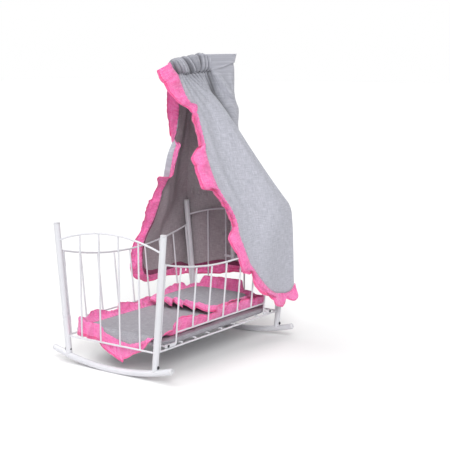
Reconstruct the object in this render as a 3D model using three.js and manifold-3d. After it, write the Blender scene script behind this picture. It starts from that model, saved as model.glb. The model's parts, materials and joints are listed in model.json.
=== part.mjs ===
// A doll's rocking cradle: a white steel tube and wire frame on two curved runners, with a
// mattress, a quilt and a pillow, and a cloth canopy that hangs from a bent rod at the head end.
// Millimetres, +Z up. The foot end is at -X and the head end at +X; left is +Y and right is -Y.
import * as THREE from 'three';
import { mergeVertices } from 'three/addons/utils/BufferGeometryUtils.js';
import Module from 'manifold-3d';

const wasm = await Module();
wasm.setup();

// Clearances
const gap = 0.3; // between pieces that touch on the real cradle
const plugClearance = 0.6; // between a tube's bore and what plugs into it, across the radius
const screwClearance = 0.5;
const overrun = 5; // how far a cutting tool passes through what it cuts

// Posts and runners, all of the same round tube
const tubeRadius = 6.35;
const tubeWall = 1;
const tubeSides = 12;
const postSpacing = 420; // from the foot posts' axes to the head posts' axes
const footHalfWidth = 112.8; // from the middle to a post's axis, at its foot
const topHalfWidth = 137.6; // the same at its top, so the posts lean outwards
const postTopHeight = 283.4;
const saddleDepth = 3; // how far a post's coped foot reaches down the sides of its runner
const saddleReach = 19; // how far the coping tool runs past the post's middle, each way
const saddleSteps = 4;

const runnerRadius = 552; // of the runner's axis
const runnerOverhang = 38; // past the post's axis at its foot
const runnerSides = 12;
const runnerSteps = 15; // an odd count leaves a level facet in the middle
const spigotHeight = 22; // the stub on the runner that goes up into the post

// Screws that hold the posts on the runners' spigots
const footScrewRise = 5.5; // above the post's foot
const footScrewRadius = 1.8;
const footScrewHeadRadius = 3.4;
const footScrewHeadHeight = 1.8;
const footScrewTip = 1.5; // how far the point stands out of the post's inner face

// Plastic plugs in the tubes' ends
const capThickness = 2;
const capCrown = 0.8;
const capPlugDepth = 8;
const capSides = 12;
const runnerCapLength = 3.5;
const runnerCapDimpleRadius = 1.4;
const runnerCapDimpleDepth = 1.2;

// Wires
const frameWireRadius = 2;
const barRadius = 1.75;
const wireSides = 8;

// End grids, between each pair of posts
const archEndHeight = 249.9;
const archCrownHeight = 274.7;
const endCrossHeight = 57;
const endBarSpacing = 50.4;
const endBarCount = 4;
const archSteps = 14;

// Side frames, which lean with the posts
const sideFrameInset = 10.5; // from a post's axis to the frame's end wire
const sideEndHeight = 227.4; // top wire, at its ends
const sideSag = 25.5; // of the top wire, from its ends to the middle
const sideBottomHeight = 57.6;
const sideRailHeight = 86;
const sideBarSpacing = 50.4;
const sideBarCount = 7;
const sideTopSteps = 12;

// Hooks on the side frames, which drop into slots in the posts
const hookPlateThickness = 1.5;
const hookPlateInset = 3; // how far the plate reaches past the end wire, away from the post
const upperHookHeight = 30;
const lowerHookHeight = 12;
const upperHookDrop = 1.9; // from the top wire's ends to the upper plate's top
const lowerHookTop = 94;
const tongueHeight = 8;
const tongueReach = 2.4; // into the post's bore
const tongueDrop = 3;
const tongueTipWidth = 1.4;
const slotClearance = 0.4;

// Bed base, screwed to lugs on the first and last bar of each side
const lugLength = 30;
const lugHeight = 6;
const lugThickness = 1.5;
const lugBottomHeight = 60.6;
const baseWireRadius = 1.75;
const baseWireSides = 6;
const baseWireBite = 0.7; // how far two crossing wires are welded into each other
const baseCrossCount = 9;
const baseCrossSpacing = 43.5;
const baseStringerHalfSpacing = 74;
const baseTabLength = 13;
const baseTabHeight = 7;
const baseTabThickness = 1.5;
const baseScrewRadius = 1.5;
const baseScrewHeadRadius = 2.9;
const baseScrewHeadHeight = 1.4;
const baseScrewTip = 2;

// Canopy rod, bent from one round bar, and its socket at the middle of the headboard
const rodRadius = 3.5;
const rodSides = 12;
const rodBendRadius = 26;
const rodBendSteps = 9;
const rodRiseHeight = 562; // where the upright ends and the bend starts
const armLength = 166;
const armDroop = THREE.MathUtils.degToRad(7);
const rodTipLength = 5;
const rodTipWall = 1.2;
const socketWall = 1.6;
const socketClearance = 0.4;
const socketBottomHeight = 160;
const socketFloor = 2;
const strapThickness = 1.5;
const strapHeight = 5;
const strapRise = 4; // above the socket's bottom

// Canopy cloth
const clothThickness = 1.5;
const clothStandoff = 3.5; // between the frame and the cloth that hangs past it
const backStandoff = 6; // between the head posts and the cloth behind them
const shoulderRise = 10; // of the cloth's turn above a head post's cap
const clothSeam = 0.6; // left between two panels
const pleatEndX = 76; // where the fold to the post's top leaves the arm
const pleatClothFront = 10; // where the gathered cloth begins on the arm
const gatherLooseness = 2.7; // between the rod and the gathered cloth
const gatherRearReach = 8; // how far the gathers go round behind the rod
const sideClothColumns = 12;
const clothRows = 13;
const backClothColumns = 8; // on each side of the middle
const backHemHeight = 136;
const sideHemRearHeight = 127;
const backBulge = 3;
const shoulderBendShare = 0.62; // how far down a side panel's rear edge the post's top lies
const shoulderSoftShare = 0.08; // how gently the cloth turns over the rail
const shoulderStartShare = 0.3; // across a side panel, where its shoulder starts to climb to the post
const shoulderEndShare = 0.86; // and where it has reached the post's top
const frontCornerShare = 0.66; // of the edge's length, from the top to the start of the hem

// The canopy's free edges, from the arm's front end down and back to the post: each point is
// [share of the post spacing, share of the canopy's height], measured from the middle and the floor
const rightEdgeShares = [
  [0.024, 1], [0.052, 0.893], [0.066, 0.8], [0.045, 0.725], [0.05, 0.65], [0.083, 0.53],
  [0.117, 0.43], [0.126, 0.36], [0.165, 0.307], [0.25, 0.238], [0.335, 0.204], [0.43, 0.19],
];
const leftEdgeShares = [
  [0.024, 1], [0.098, 0.905], [0.13, 0.83], [0.127, 0.745], [0.155, 0.63], [0.178, 0.55],
  [0.175, 0.47], [0.14, 0.4], [0.122, 0.33], [0.124, 0.268], [0.165, 0.237], [0.25, 0.23], [0.43, 0.235],
];

// Canopy heading, the stiff frill that stands above the gathers
const headingHeight = 37;
const headingRearHeight = 30;
const headingFrontLean = 12;
const headingRearLean = 9;
const headingPleats = 8;
const headingPleatDepth = 3;
const headingColumns = 28;
const headingRows = 3;
const gatherRoundPower = 6; // how squarely the gathers close round behind the rod
const headingRoundPower = 10; // and the heading above them

// Ruffles
const ruffleThickness = 1.2;
const canopyRuffleWidth = 28;
const canopyRuffleTopWidth = 44; // beside the heading
const ruffleTopShare = 0.16; // of its length, over which a side ruffle narrows
const canopyRuffleWave = 4;
const canopyRufflePeriod = 48;
const ruffleStepsPerWave = 5;
const ruffleFlareShare = 0.12; // of its length, over which the ruffle turns back at the rear corner

// Bedding
const mattressHalfLength = 193;
const mattressHalfWidth = 109;
const mattressThickness = 8.5;
const duvetHalfLength = 192;
const duvetCentreX = -2;
const duvetHalfWidth = 92;
const duvetEdge = 4; // height of the seam above the mattress
const duvetCrown = 5;
const duvetRuffleReach = 20;
const duvetRuffleRise = 20;
const duvetRuffleEndReach = 2.5;
const duvetRuffleWave = 3;
const duvetRuffleWaves = 22;
const duvetFootDrop = 46; // how far the ruffle hangs down past the mattress at the foot
const duvetFootDropWidth = 62;
const duvetFootDropOffset = -26;
const pillowHalfLength = 72;
const pillowHalfWidth = 76;
const pillowCentreX = 94;
const pillowLift = 13; // from its flat underside to its seam
const pillowCrown = 15;
const pillowRuffleReach = 24;
const pillowRuffleFootReach = 32;
const pillowRuffleHeadReach = 16;
const pillowRuffleRise = 11;
const pillowRuffleFootRise = -7; // it lies down on the quilt there
const pillowRuffleHeadRise = 20; // it stands against the headboard's bars there
const pillowRuffleWave = 3;
const pillowRuffleWaves = 15;
const cushionSegments = 36;
const ruffleStepsShort = 4;

// How square the cushions' outlines are, how flat their tops and how sharp their edges
const mattressSquareness = 14;
const duvetSquareness = 9;
const pillowSquareness = 6;
const slabEdgePower = 14;
const crownPower = 5;
const pillowCrownPower = 0.7;

// Where each cushion's rings of points lie, as shares of its reach
const slabRings = [0.6, 0.94];
const duvetTopRings = [0.45, 0.75, 0.92];
const duvetBottomRings = [0.6, 0.93];
const pillowTopRings = [0.3, 0.55, 0.78, 0.93];
const pillowBottomRings = [0.55, 0.85];

const white = { color: 0xf1f1f4, roughness: 0.35, metalness: 0.1 };
const plastic = { color: 0xe9e9ec, roughness: 0.5, metalness: 0 };
const darkSteel = { color: 0x3b3b42, roughness: 0.4, metalness: 0.8 };
const greyCloth = { color: 0xb9b8c2, roughness: 0.95, metalness: 0 };
const pinkCloth = { color: 0xff69b4, roughness: 0.95, metalness: 0 };

const ends = [{ name: 'foot', sign: -1 }, { name: 'head', sign: 1 }];
const sides = [{ name: 'left', sign: 1 }, { name: 'right', sign: -1 }];
const up = new THREE.Vector3(0, 0, 1);
const postX = postSpacing / 2;
const cradle = new THREE.Group();

function vector(x, y, z) {
  return new THREE.Vector3(x, y, z);
}

function addPiece(name, geometry, look) {
  const mesh = new THREE.Mesh(geometry, new THREE.MeshStandardMaterial(look));
  mesh.name = name;
  cradle.add(mesh);
  return mesh;
}

// A closed geometry as a solid that can be joined and cut
function solidOf(geometry) {
  const bare = geometry.index ? geometry.toNonIndexed() : geometry.clone();
  bare.deleteAttribute('normal');
  bare.deleteAttribute('uv');
  const welded = mergeVertices(bare);
  return new wasm.Manifold(new wasm.Mesh({
    numProp: 3,
    vertProperties: new Float32Array(welded.attributes.position.array),
    triVerts: new Uint32Array(welded.index.array),
  }));
}

function geometryOf(solid) {
  const mesh = solid.getMesh();
  const geometry = new THREE.BufferGeometry();
  geometry.setAttribute('position', new THREE.BufferAttribute(new Float32Array(mesh.vertProperties), 3));
  geometry.setIndex(new THREE.BufferAttribute(new Uint32Array(mesh.triVerts), 1));
  geometry.computeVertexNormals();
  return geometry;
}

function joined(geometries) {
  return geometries.map(solidOf).reduce((whole, solid) => whole.add(solid));
}

function withCuts(solid, tools) {
  return tools.map(solidOf).reduce((left, tool) => left.subtract(tool), solid);
}

// A straight round bar from one point to another
function bar(from, to, radius, barSides = wireSides) {
  const along = to.clone().sub(from);
  const geometry = new THREE.CylinderGeometry(radius, radius, along.length(), barSides);
  const turn = new THREE.Quaternion().setFromUnitVectors(vector(0, 1, 0), along.clone().normalize());
  geometry.applyQuaternion(turn);
  const middle = from.clone().add(to).multiplyScalar(0.5);
  return geometry.translate(middle.x, middle.y, middle.z);
}

class FormulaCurve extends THREE.Curve {
  constructor(place) {
    super();
    this.place = place;
  }

  getPoint(share) {
    return this.place(share);
  }
}

// The outline of a round section with a flat on each axis
function roundOutline(radius, count) {
  const outline = [];
  for (let i = 0; i < count; i += 1) {
    const angle = ((i + 0.5) * 2 * Math.PI) / count;
    outline.push(new THREE.Vector2(radius * Math.cos(angle), radius * Math.sin(angle)));
  }
  return outline;
}

function tubeAlong(curve, radius, bore, count, steps) {
  const section = new THREE.Shape(roundOutline(radius, count));
  if (bore > 0) {
    section.holes.push(new THREE.Path(roundOutline(bore, count)));
  }
  return new THREE.ExtrudeGeometry(section, { steps, bevelEnabled: false, extrudePath: curve });
}

// A solid turned about +Z from [radius, height] points, then laid from a point along a direction
function turned(profile, count, from, along) {
  const points = profile.map(([radius, height]) => new THREE.Vector2(radius, height));
  const geometry = new THREE.LatheGeometry(points, count);
  geometry.applyQuaternion(new THREE.Quaternion().setFromUnitVectors(vector(0, 1, 0), along));
  return geometry.translate(from.x, from.y, from.z);
}

function smoothStep(value) {
  const held = THREE.MathUtils.clamp(value, 0, 1);
  return held * held * (3 - 2 * held);
}

// Where things are: the runner's axis, the post's axis and the side frame's wires
const runnerHalfLength = footHalfWidth + runnerOverhang;
const runnerApothem = tubeRadius * Math.cos(Math.PI / runnerSides);
const runnerHalfAngle = Math.asin(runnerHalfLength / runnerRadius);
const runnerCentreHeight = runnerApothem + runnerRadius * Math.cos(runnerHalfAngle / runnerSteps);

function runnerHeight(y) {
  return runnerCentreHeight - Math.sqrt(runnerRadius ** 2 - y ** 2);
}

const footHeight = runnerHeight(footHalfWidth) + tubeRadius;
const postLean = Math.atan2(topHalfWidth - footHalfWidth, postTopHeight - footHeight);
const postUp = vector(0, Math.sin(postLean), Math.cos(postLean));
const postAcross = vector(0, Math.cos(postLean), -Math.sin(postLean));

function postY(height) {
  return footHalfWidth + (height - footHeight) * Math.tan(postLean);
}

const sideSagHeight = sideEndHeight - sideSag;

function sideTopHeight(x) {
  const share = x / (postX - sideFrameInset);
  return sideSagHeight + (sideEndHeight - sideSagHeight) * share ** 2;
}

function onSide(x, height, sign) {
  return vector(x, sign * postY(height), height);
}

function leaned(point, sign) {
  return vector(point.x, sign * point.y, point.z);
}

// A flat plate in a side's leaning plane, given by its middle
function sidePlate(x, height, sign, length, tall, thickness) {
  const plate = new THREE.BoxGeometry(length, thickness, tall);
  plate.rotateX(-sign * postLean);
  const middle = onSide(x, height, sign);
  return plate.translate(middle.x, middle.y, middle.z);
}

// Posts

function hookSlot(top, facing) {
  const height = tongueHeight + tongueDrop + 2 * slotClearance;
  const width = hookPlateThickness + 2 * slotClearance;
  const slot = new THREE.BoxGeometry(tubeRadius + overrun, width, height);
  slot.rotateX(-postLean);
  const middle = top - height / 2 + slotClearance;
  return slot.translate((facing * (tubeRadius + overrun)) / 2, postY(middle), middle);
}

const footScrewHeight = footHeight + footScrewRise;
const upperHookTop = sideEndHeight - upperHookDrop;
const upperTongueTop = upperHookTop - tongueHeight;
const lowerTongueTop = lowerHookTop - gap;

function postGeometry(facing) {
  const foot = vector(0, footHalfWidth, footHeight).addScaledVector(postUp, -saddleDepth);
  const top = vector(0, topHalfWidth, postTopHeight);
  const wall = tubeAlong(new THREE.LineCurve3(foot, top), tubeRadius, tubeRadius - tubeWall, tubeSides, 1);
  const saddle = tubeAlong(
    new FormulaCurve((share) => {
      const y = footHalfWidth + (2 * share - 1) * saddleReach;
      return vector(0, y, runnerHeight(y));
    }),
    tubeRadius + gap, 0, tubeSides, saddleSteps,
  );
  const screwY = postY(footScrewHeight);
  const reach = tubeRadius + overrun;
  const screwHole = bar(
    vector(0, screwY - reach, footScrewHeight), vector(0, screwY + reach, footScrewHeight),
    footScrewRadius + screwClearance,
  );
  const slots = [hookSlot(upperTongueTop, facing), hookSlot(lowerTongueTop, facing)];
  return geometryOf(withCuts(solidOf(wall), [saddle, screwHole, ...slots]));
}

for (const end of ends) {
  for (const side of sides) {
    const facing = -end.sign * side.sign;
    const post = addPiece(`${end.name}_post_${side.name}`, postGeometry(facing), white);
    post.position.x = end.sign * postX;
    post.rotation.z = side.sign > 0 ? 0 : Math.PI;

    const capRadius = tubeRadius;
    const plugRadius = tubeRadius - tubeWall - plugClearance;
    const capProfile = [
      [0, -capPlugDepth], [plugRadius, -capPlugDepth], [plugRadius, gap], [capRadius, gap],
      [capRadius, gap + capThickness - capCrown], [capRadius - capCrown, gap + capThickness],
      [0, gap + capThickness],
    ];
    const capFoot = vector(0, topHalfWidth, postTopHeight);
    const cap = addPiece(
      `${end.name}_post_cap_${side.name}`, turned(capProfile, capSides, capFoot, postUp), plastic,
    );
    cap.position.x = end.sign * postX;
    cap.rotation.z = post.rotation.z;

    const screwY = postY(footScrewHeight);
    const half = tubeRadius / Math.cos(postLean);
    const screwProfile = [
      [0, -2 * half - footScrewTip], [footScrewRadius, -2 * half], [footScrewRadius, gap],
      [footScrewHeadRadius, gap], [footScrewHeadRadius, gap + footScrewHeadHeight / 2],
      [footScrewHeadRadius / 2, gap + footScrewHeadHeight], [0, gap + footScrewHeadHeight],
    ];
    const headSeat = vector(0, screwY + half, footScrewHeight);
    const screw = addPiece(
      `${end.name}_post_screw_${side.name}`,
      turned(screwProfile, wireSides, headSeat, vector(0, 1, 0)), darkSteel,
    );
    screw.position.x = end.sign * postX;
    screw.rotation.z = post.rotation.z;
  }
}

// Runners, each with two spigots for its posts

function runnerCurve() {
  return new FormulaCurve((share) => {
    const angle = (2 * share - 1) * runnerHalfAngle;
    return vector(0, runnerRadius * Math.sin(angle), runnerCentreHeight - runnerRadius * Math.cos(angle));
  });
}

function runnerGeometry() {
  const tube = tubeAlong(runnerCurve(), tubeRadius, tubeRadius - tubeWall, runnerSides, runnerSteps);
  const parts = [tube];
  const holes = [];
  for (const side of sides) {
    const root = vector(0, footHalfWidth, footHeight).addScaledVector(postUp, -tubeWall);
    const tip = vector(0, footHalfWidth, footHeight).addScaledVector(postUp, spigotHeight);
    const spigotRadius = tubeRadius - tubeWall - plugClearance;
    parts.push(bar(leaned(root, side.sign), leaned(tip, side.sign), spigotRadius, runnerSides));
    const screwY = postY(footScrewHeight);
    const inner = vector(0, screwY - tubeRadius - overrun, footScrewHeight);
    const outer = vector(0, screwY + tubeRadius + overrun, footScrewHeight);
    holes.push(bar(leaned(inner, side.sign), leaned(outer, side.sign), footScrewRadius + screwClearance));
  }
  return geometryOf(withCuts(joined(parts), holes));
}

for (const end of ends) {
  const runner = addPiece(`${end.name}_runner`, runnerGeometry(), white);
  runner.position.x = end.sign * postX;
  for (const side of sides) {
    const plugRadius = tubeRadius - tubeWall - plugClearance;
    const profile = [
      [0, -capPlugDepth], [plugRadius, -capPlugDepth], [plugRadius, gap], [tubeRadius, gap],
      [tubeRadius, runnerCapLength / 2], [tubeRadius / 2 + runnerCapDimpleRadius, runnerCapLength],
      [runnerCapDimpleRadius, runnerCapLength],
      [runnerCapDimpleRadius, runnerCapLength - runnerCapDimpleDepth],
      [0, runnerCapLength - runnerCapDimpleDepth],
    ];
    const seat = runnerCurve().getPoint(1);
    const out = vector(0, Math.cos(runnerHalfAngle), Math.sin(runnerHalfAngle));
    const cap = addPiece(
      `${end.name}_runner_cap_${side.name}`, turned(profile, runnerSides, seat, out), plastic,
    );
    cap.position.x = end.sign * postX;
    cap.rotation.z = side.sign > 0 ? 0 : Math.PI;
  }
}

// End grids: an arched wire, a cross wire and plumb bars, welded together

const archEndY = postY(archEndHeight) - tubeRadius / Math.cos(postLean) - gap;
const crossEndY = postY(endCrossHeight) - tubeRadius / Math.cos(postLean) - gap;

function archHeight(y) {
  return archCrownHeight - (archCrownHeight - archEndHeight) * (y / postY(archEndHeight)) ** 2;
}

function endGridGeometry() {
  const arch = new FormulaCurve((share) => {
    const y = (2 * share - 1) * archEndY;
    return vector(0, y, archHeight(y));
  });
  const parts = [
    tubeAlong(arch, frameWireRadius, 0, wireSides, archSteps),
    bar(vector(0, -crossEndY, endCrossHeight), vector(0, crossEndY, endCrossHeight), frameWireRadius),
  ];
  for (let i = 0; i < endBarCount; i += 1) {
    const y = (i - (endBarCount - 1) / 2) * endBarSpacing;
    parts.push(bar(vector(0, y, endCrossHeight), vector(0, y, archHeight(y)), barRadius));
  }
  return geometryOf(joined(parts));
}

for (const end of ends) {
  const grid = addPiece(`${end.name}_grid`, endGridGeometry(), white);
  grid.position.x = end.sign * postX;
}

// Side frames: a wire loop with a sagging top and the hooks that hang it in the posts

const sideEndX = postX - sideFrameInset;

function hookGeometries(end, side, top, height) {
  const inner = sideEndX - hookPlateInset;
  const outer = postX - tubeRadius - gap;
  const tongueTop = top === upperHookTop ? upperTongueTop : lowerTongueTop;
  const bore = postX - tubeRadius + tubeWall;
  const tongueEnd = bore + tongueReach;
  const tongueMiddle = (outer - hookPlateInset + tongueEnd) / 2;
  const tipMiddle = tongueEnd - tongueTipWidth / 2;
  const plates = [
    [(inner + outer) / 2, top - height / 2, outer - inner, height],
    [tongueMiddle, tongueTop - tongueHeight / 2, tongueEnd - outer + hookPlateInset, tongueHeight],
    [tipMiddle, tongueTop - (tongueHeight + tongueDrop) / 2, tongueTipWidth, tongueHeight + tongueDrop],
  ];
  return plates.map(([x, middle, length, tall]) => (
    sidePlate(end * x, middle, side, length, tall, hookPlateThickness)
  ));
}

function sideFrameGeometry(side) {
  const top = new FormulaCurve((share) => {
    const x = (2 * share - 1) * (sideEndX + frameWireRadius / 2);
    return onSide(x, sideTopHeight(x), side);
  });
  const parts = [
    tubeAlong(top, frameWireRadius, 0, wireSides, sideTopSteps),
    bar(
      onSide(-sideEndX - frameWireRadius, sideBottomHeight, side),
      onSide(sideEndX + frameWireRadius, sideBottomHeight, side), frameWireRadius,
    ),
  ];
  for (const end of ends) {
    const x = end.sign * sideEndX;
    parts.push(bar(onSide(x, sideBottomHeight, side), onSide(x, sideEndHeight, side), frameWireRadius));
    parts.push(...hookGeometries(end.sign, side, upperHookTop, upperHookHeight));
    parts.push(...hookGeometries(end.sign, side, lowerHookTop, lowerHookHeight));
  }
  return geometryOf(joined(parts));
}

for (const side of sides) {
  addPiece(`side_frame_${side.name}`, sideFrameGeometry(side.sign), white);
}

// Side bars: the middle ones stand on the rail, the first and last go down to a lug for the base

const lastBarX = (sideBarSpacing * (sideBarCount - 1)) / 2;
const lugMiddleHeight = lugBottomHeight + lugHeight / 2;
const baseScrewX = lastBarX + lugLength - 2 * baseScrewHeadRadius;

function baseScrewHole(end, side) {
  const y = postY(lugMiddleHeight);
  const inner = vector(end * baseScrewX, y - overrun - baseTabThickness, lugMiddleHeight);
  const outer = vector(end * baseScrewX, y + overrun, lugMiddleHeight);
  return bar(leaned(inner, side), leaned(outer, side), baseScrewRadius + screwClearance);
}

for (const side of sides) {
  for (let i = 0; i < sideBarCount; i += 1) {
    const x = i * sideBarSpacing - lastBarX;
    const top = sideTopHeight(x) - frameWireRadius - gap;
    const isLast = i === 0 || i === sideBarCount - 1;
    const bottom = isLast ? lugMiddleHeight : sideRailHeight + barRadius + gap;
    const stem = bar(onSide(x, bottom, side.sign), onSide(x, top, side.sign), barRadius);
    let geometry = stem;
    if (isLast) {
      const end = Math.sign(x);
      const lug = sidePlate(
        x + (end * lugLength) / 2, lugMiddleHeight, side.sign, lugLength, lugHeight, lugThickness,
      );
      geometry = geometryOf(withCuts(joined([stem, lug]), [baseScrewHole(end, side.sign)]));
    }
    addPiece(`side_bar_${side.name}_${i + 1}`, geometry, white);
  }
  const railEnd = lastBarX - barRadius - gap;
  addPiece(
    `side_rail_${side.name}`,
    bar(
      onSide(-railEnd, sideRailHeight, side.sign), onSide(railEnd, sideRailHeight, side.sign), barRadius,
    ),
    white,
  );
}

// Bed base: cross wires on three stringers, with a screwed tab at each corner

const baseWireHeight = sideBottomHeight + frameWireRadius + gap + baseWireRadius;
const stringerHeight = baseWireHeight - 2 * baseWireRadius + baseWireBite;
const lastCrossX = (baseCrossSpacing * (baseCrossCount - 1)) / 2;
const baseTabY = postY(lugMiddleHeight) - (lugThickness + baseTabThickness) / 2 / Math.cos(postLean) - gap;

function baseGeometry() {
  const parts = [];
  const holes = [];
  for (let i = 0; i < baseCrossCount; i += 1) {
    const x = i * baseCrossSpacing - lastCrossX;
    const isLast = i === 0 || i === baseCrossCount - 1;
    const halfWidth = isLast ? baseTabY : postY(baseWireHeight);
    parts.push(bar(
      vector(x, -halfWidth, baseWireHeight), vector(x, halfWidth, baseWireHeight), baseWireRadius,
      baseWireSides,
    ));
  }
  const stringerEnd = lastCrossX + baseWireRadius;
  for (const row of [-1, 0, 1]) {
    const y = row * baseStringerHalfSpacing;
    parts.push(bar(
      vector(-stringerEnd, y, stringerHeight), vector(stringerEnd, y, stringerHeight), baseWireRadius,
      baseWireSides,
    ));
  }
  for (const end of ends) {
    for (const side of sides) {
      const tab = new THREE.BoxGeometry(baseTabLength, baseTabThickness, baseTabHeight);
      tab.rotateX(-side.sign * postLean);
      tab.translate(end.sign * baseScrewX, side.sign * baseTabY, lugMiddleHeight);
      parts.push(tab);
      holes.push(baseScrewHole(end.sign, side.sign));
    }
  }
  return geometryOf(withCuts(joined(parts), holes));
}

addPiece('bed_base', baseGeometry(), white);

for (const end of ends) {
  for (const side of sides) {
    const face = postY(lugMiddleHeight) + lugThickness / 2 / Math.cos(postLean) + gap;
    const shank = lugThickness + baseTabThickness + 2 * gap + baseScrewTip;
    const profile = [
      [0, -shank - gap], [baseScrewRadius, -shank], [baseScrewRadius, gap], [baseScrewHeadRadius, gap],
      [baseScrewHeadRadius, gap + baseScrewHeadHeight / 2],
      [baseScrewHeadRadius / 2, gap + baseScrewHeadHeight], [0, gap + baseScrewHeadHeight],
    ];
    const seat = vector(end.sign * baseScrewX, side.sign * face, lugMiddleHeight);
    addPiece(
      `${end.name}_base_screw_${side.name}`,
      turned(profile, wireSides, seat, vector(0, side.sign, 0)), darkSteel,
    );
  }
}

// Canopy rod and its socket

const socketBore = rodRadius + socketClearance;
const socketRadius = socketBore + socketWall;
const rodX = postX - frameWireRadius - gap - socketRadius;
const rodFootHeight = socketBottomHeight + socketFloor + gap;
const bendCentreX = rodX - rodBendRadius;
const bendTurn = Math.PI / 2 + armDroop;
const armRear = vector(
  bendCentreX + rodBendRadius * Math.cos(bendTurn), 0, rodRiseHeight + rodBendRadius * Math.sin(bendTurn),
);
const armForward = vector(-Math.cos(armDroop), 0, -Math.sin(armDroop));
const armFront = armRear.clone().addScaledVector(armForward, armLength);

function armHeight(x) {
  return armRear.z - (armRear.x - Math.min(x, armRear.x)) * Math.tan(armDroop);
}

function rodGeometry() {
  const bend = new FormulaCurve((share) => {
    const angle = share * bendTurn;
    return vector(
      bendCentreX + rodBendRadius * Math.cos(angle), 0, rodRiseHeight + rodBendRadius * Math.sin(angle),
    );
  });
  const lap = rodRadius / 2;
  return geometryOf(joined([
    tubeAlong(
      new THREE.LineCurve3(vector(rodX, 0, rodFootHeight), vector(rodX, 0, rodRiseHeight + lap)),
      rodRadius, 0, rodSides, 1,
    ),
    tubeAlong(bend, rodRadius, 0, rodSides, rodBendSteps),
    tubeAlong(
      new THREE.LineCurve3(armRear.clone().addScaledVector(armForward, -lap), armFront),
      rodRadius, 0, rodSides, 1,
    ),
  ]));
}

addPiece('canopy_rod', rodGeometry(), white);

const tipSeat = armFront.clone();
addPiece('canopy_rod_cap', turned([
  [0, gap], [rodRadius, gap], [rodRadius, rodTipLength / 2], [rodRadius - rodTipWall, rodTipLength],
  [0, rodTipLength],
], rodSides, tipSeat, armForward), plastic);

function socketGeometry() {
  const archUnderside = archCrownHeight - frameWireRadius - gap;
  const height = archUnderside - socketBottomHeight;
  const tube = turned([
    [0, 0], [socketRadius, 0], [socketRadius, height], [socketBore, height], [socketBore, socketFloor],
    [0, socketFloor],
  ], rodSides, vector(rodX, 0, socketBottomHeight), up);
  const strapX = postX - barRadius - gap - strapThickness / 2;
  const strap = new THREE.BoxGeometry(strapThickness, endBarSpacing + 2 * barRadius, strapHeight);
  strap.translate(strapX, 0, socketBottomHeight + strapRise + strapHeight / 2);
  const bore = bar(
    vector(rodX, 0, socketBottomHeight + socketFloor), vector(rodX, 0, archUnderside), socketBore, rodSides,
  );
  const clearedStrap = withCuts(solidOf(strap), [bore]);
  return geometryOf(solidOf(tube).add(clearedStrap));
}

addPiece('rod_socket', socketGeometry(), white);

// Cloth sheets: a grid of points becomes a thin closed solid

function sheetSolid(grid, thickness, isLoop = false) {
  const columns = grid.length;
  const rows = grid[0].length;
  const positions = [];
  const faces = [];
  const at = (i, j) => grid[isLoop ? (i + columns) % columns : THREE.MathUtils.clamp(i, 0, columns - 1)][
    THREE.MathUtils.clamp(j, 0, rows - 1)];
  for (const offset of [thickness / 2, -thickness / 2]) {
    for (let i = 0; i < columns; i += 1) {
      for (let j = 0; j < rows; j += 1) {
        const across = at(i + 1, j).clone().sub(at(i - 1, j));
        const down = at(i, j + 1).clone().sub(at(i, j - 1));
        const normal = across.cross(down).normalize();
        positions.push(...at(i, j).clone().addScaledVector(normal, offset).toArray());
      }
    }
  }
  const index = (layer, i, j) => layer * columns * rows + (i % columns) * rows + j;
  const quad = (a, b, c, d) => faces.push(a, b, c, a, c, d);
  const lastColumn = isLoop ? columns : columns - 1;
  for (let i = 0; i < lastColumn; i += 1) {
    for (let j = 0; j < rows - 1; j += 1) {
      quad(index(0, i, j), index(0, i + 1, j), index(0, i + 1, j + 1), index(0, i, j + 1));
      quad(index(1, i, j), index(1, i, j + 1), index(1, i + 1, j + 1), index(1, i + 1, j));
    }
    quad(index(0, i, 0), index(1, i, 0), index(1, i + 1, 0), index(0, i + 1, 0));
    quad(
      index(0, i, rows - 1), index(0, i + 1, rows - 1), index(1, i + 1, rows - 1), index(1, i, rows - 1),
    );
  }
  if (!isLoop) {
    for (let j = 0; j < rows - 1; j += 1) {
      quad(index(0, 0, j), index(0, 0, j + 1), index(1, 0, j + 1), index(1, 0, j));
      const last = columns - 1;
      quad(index(0, last, j), index(1, last, j), index(1, last, j + 1), index(0, last, j + 1));
    }
  }
  const geometry = new THREE.BufferGeometry();
  geometry.setAttribute('position', new THREE.Float32BufferAttribute(positions, 3));
  geometry.setIndex(faces);
  const solid = solidOf(geometry);
  if (solid.volume() < 0) {
    geometry.setIndex(faces.toReversed());
  }
  geometry.computeVertexNormals();
  return geometry;
}

function gridOf(columns, rows, place) {
  return Array.from({ length: columns }, (_, i) => (
    Array.from({ length: rows }, (__, j) => place(i / (columns - 1), j / (rows - 1)))
  ));
}

// A patch that runs smoothly between four edge curves that meet at its corners
function patchPoint(edges, across, down) {
  const { left, right, top, bottom } = edges;
  const point = vector(0, 0, 0);
  point.addScaledVector(left(down), 1 - across).addScaledVector(right(down), across);
  point.addScaledVector(top(across), 1 - down).addScaledVector(bottom(across), down);
  point.addScaledVector(top(0), -(1 - across) * (1 - down)).addScaledVector(top(1), -across * (1 - down));
  point.addScaledVector(bottom(0), -(1 - across) * down).addScaledVector(bottom(1), -across * down);
  return point;
}

// Canopy: two side panels over the rails and a back panel behind the headboard

const gatherHalf = rodRadius + gatherLooseness + clothThickness / 2;
const canopyHeight = armHeight(pleatClothFront);
const railShoulderHeight = sideSagHeight + frameWireRadius + clothStandoff;
const postShoulderHeight = postTopHeight + capThickness + shoulderRise;
const railShoulderY = postY(sideSagHeight) + frameWireRadius + 2 * clothStandoff;
const postShoulderY = topHalfWidth + tubeRadius + clothStandoff;
const backX = postX + tubeRadius + backStandoff;
const shoulderCornerX = backX - clothThickness;

function shoulderShare(across) {
  return smoothStep((across - shoulderStartShare) / (shoulderEndShare - shoulderStartShare));
}

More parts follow.
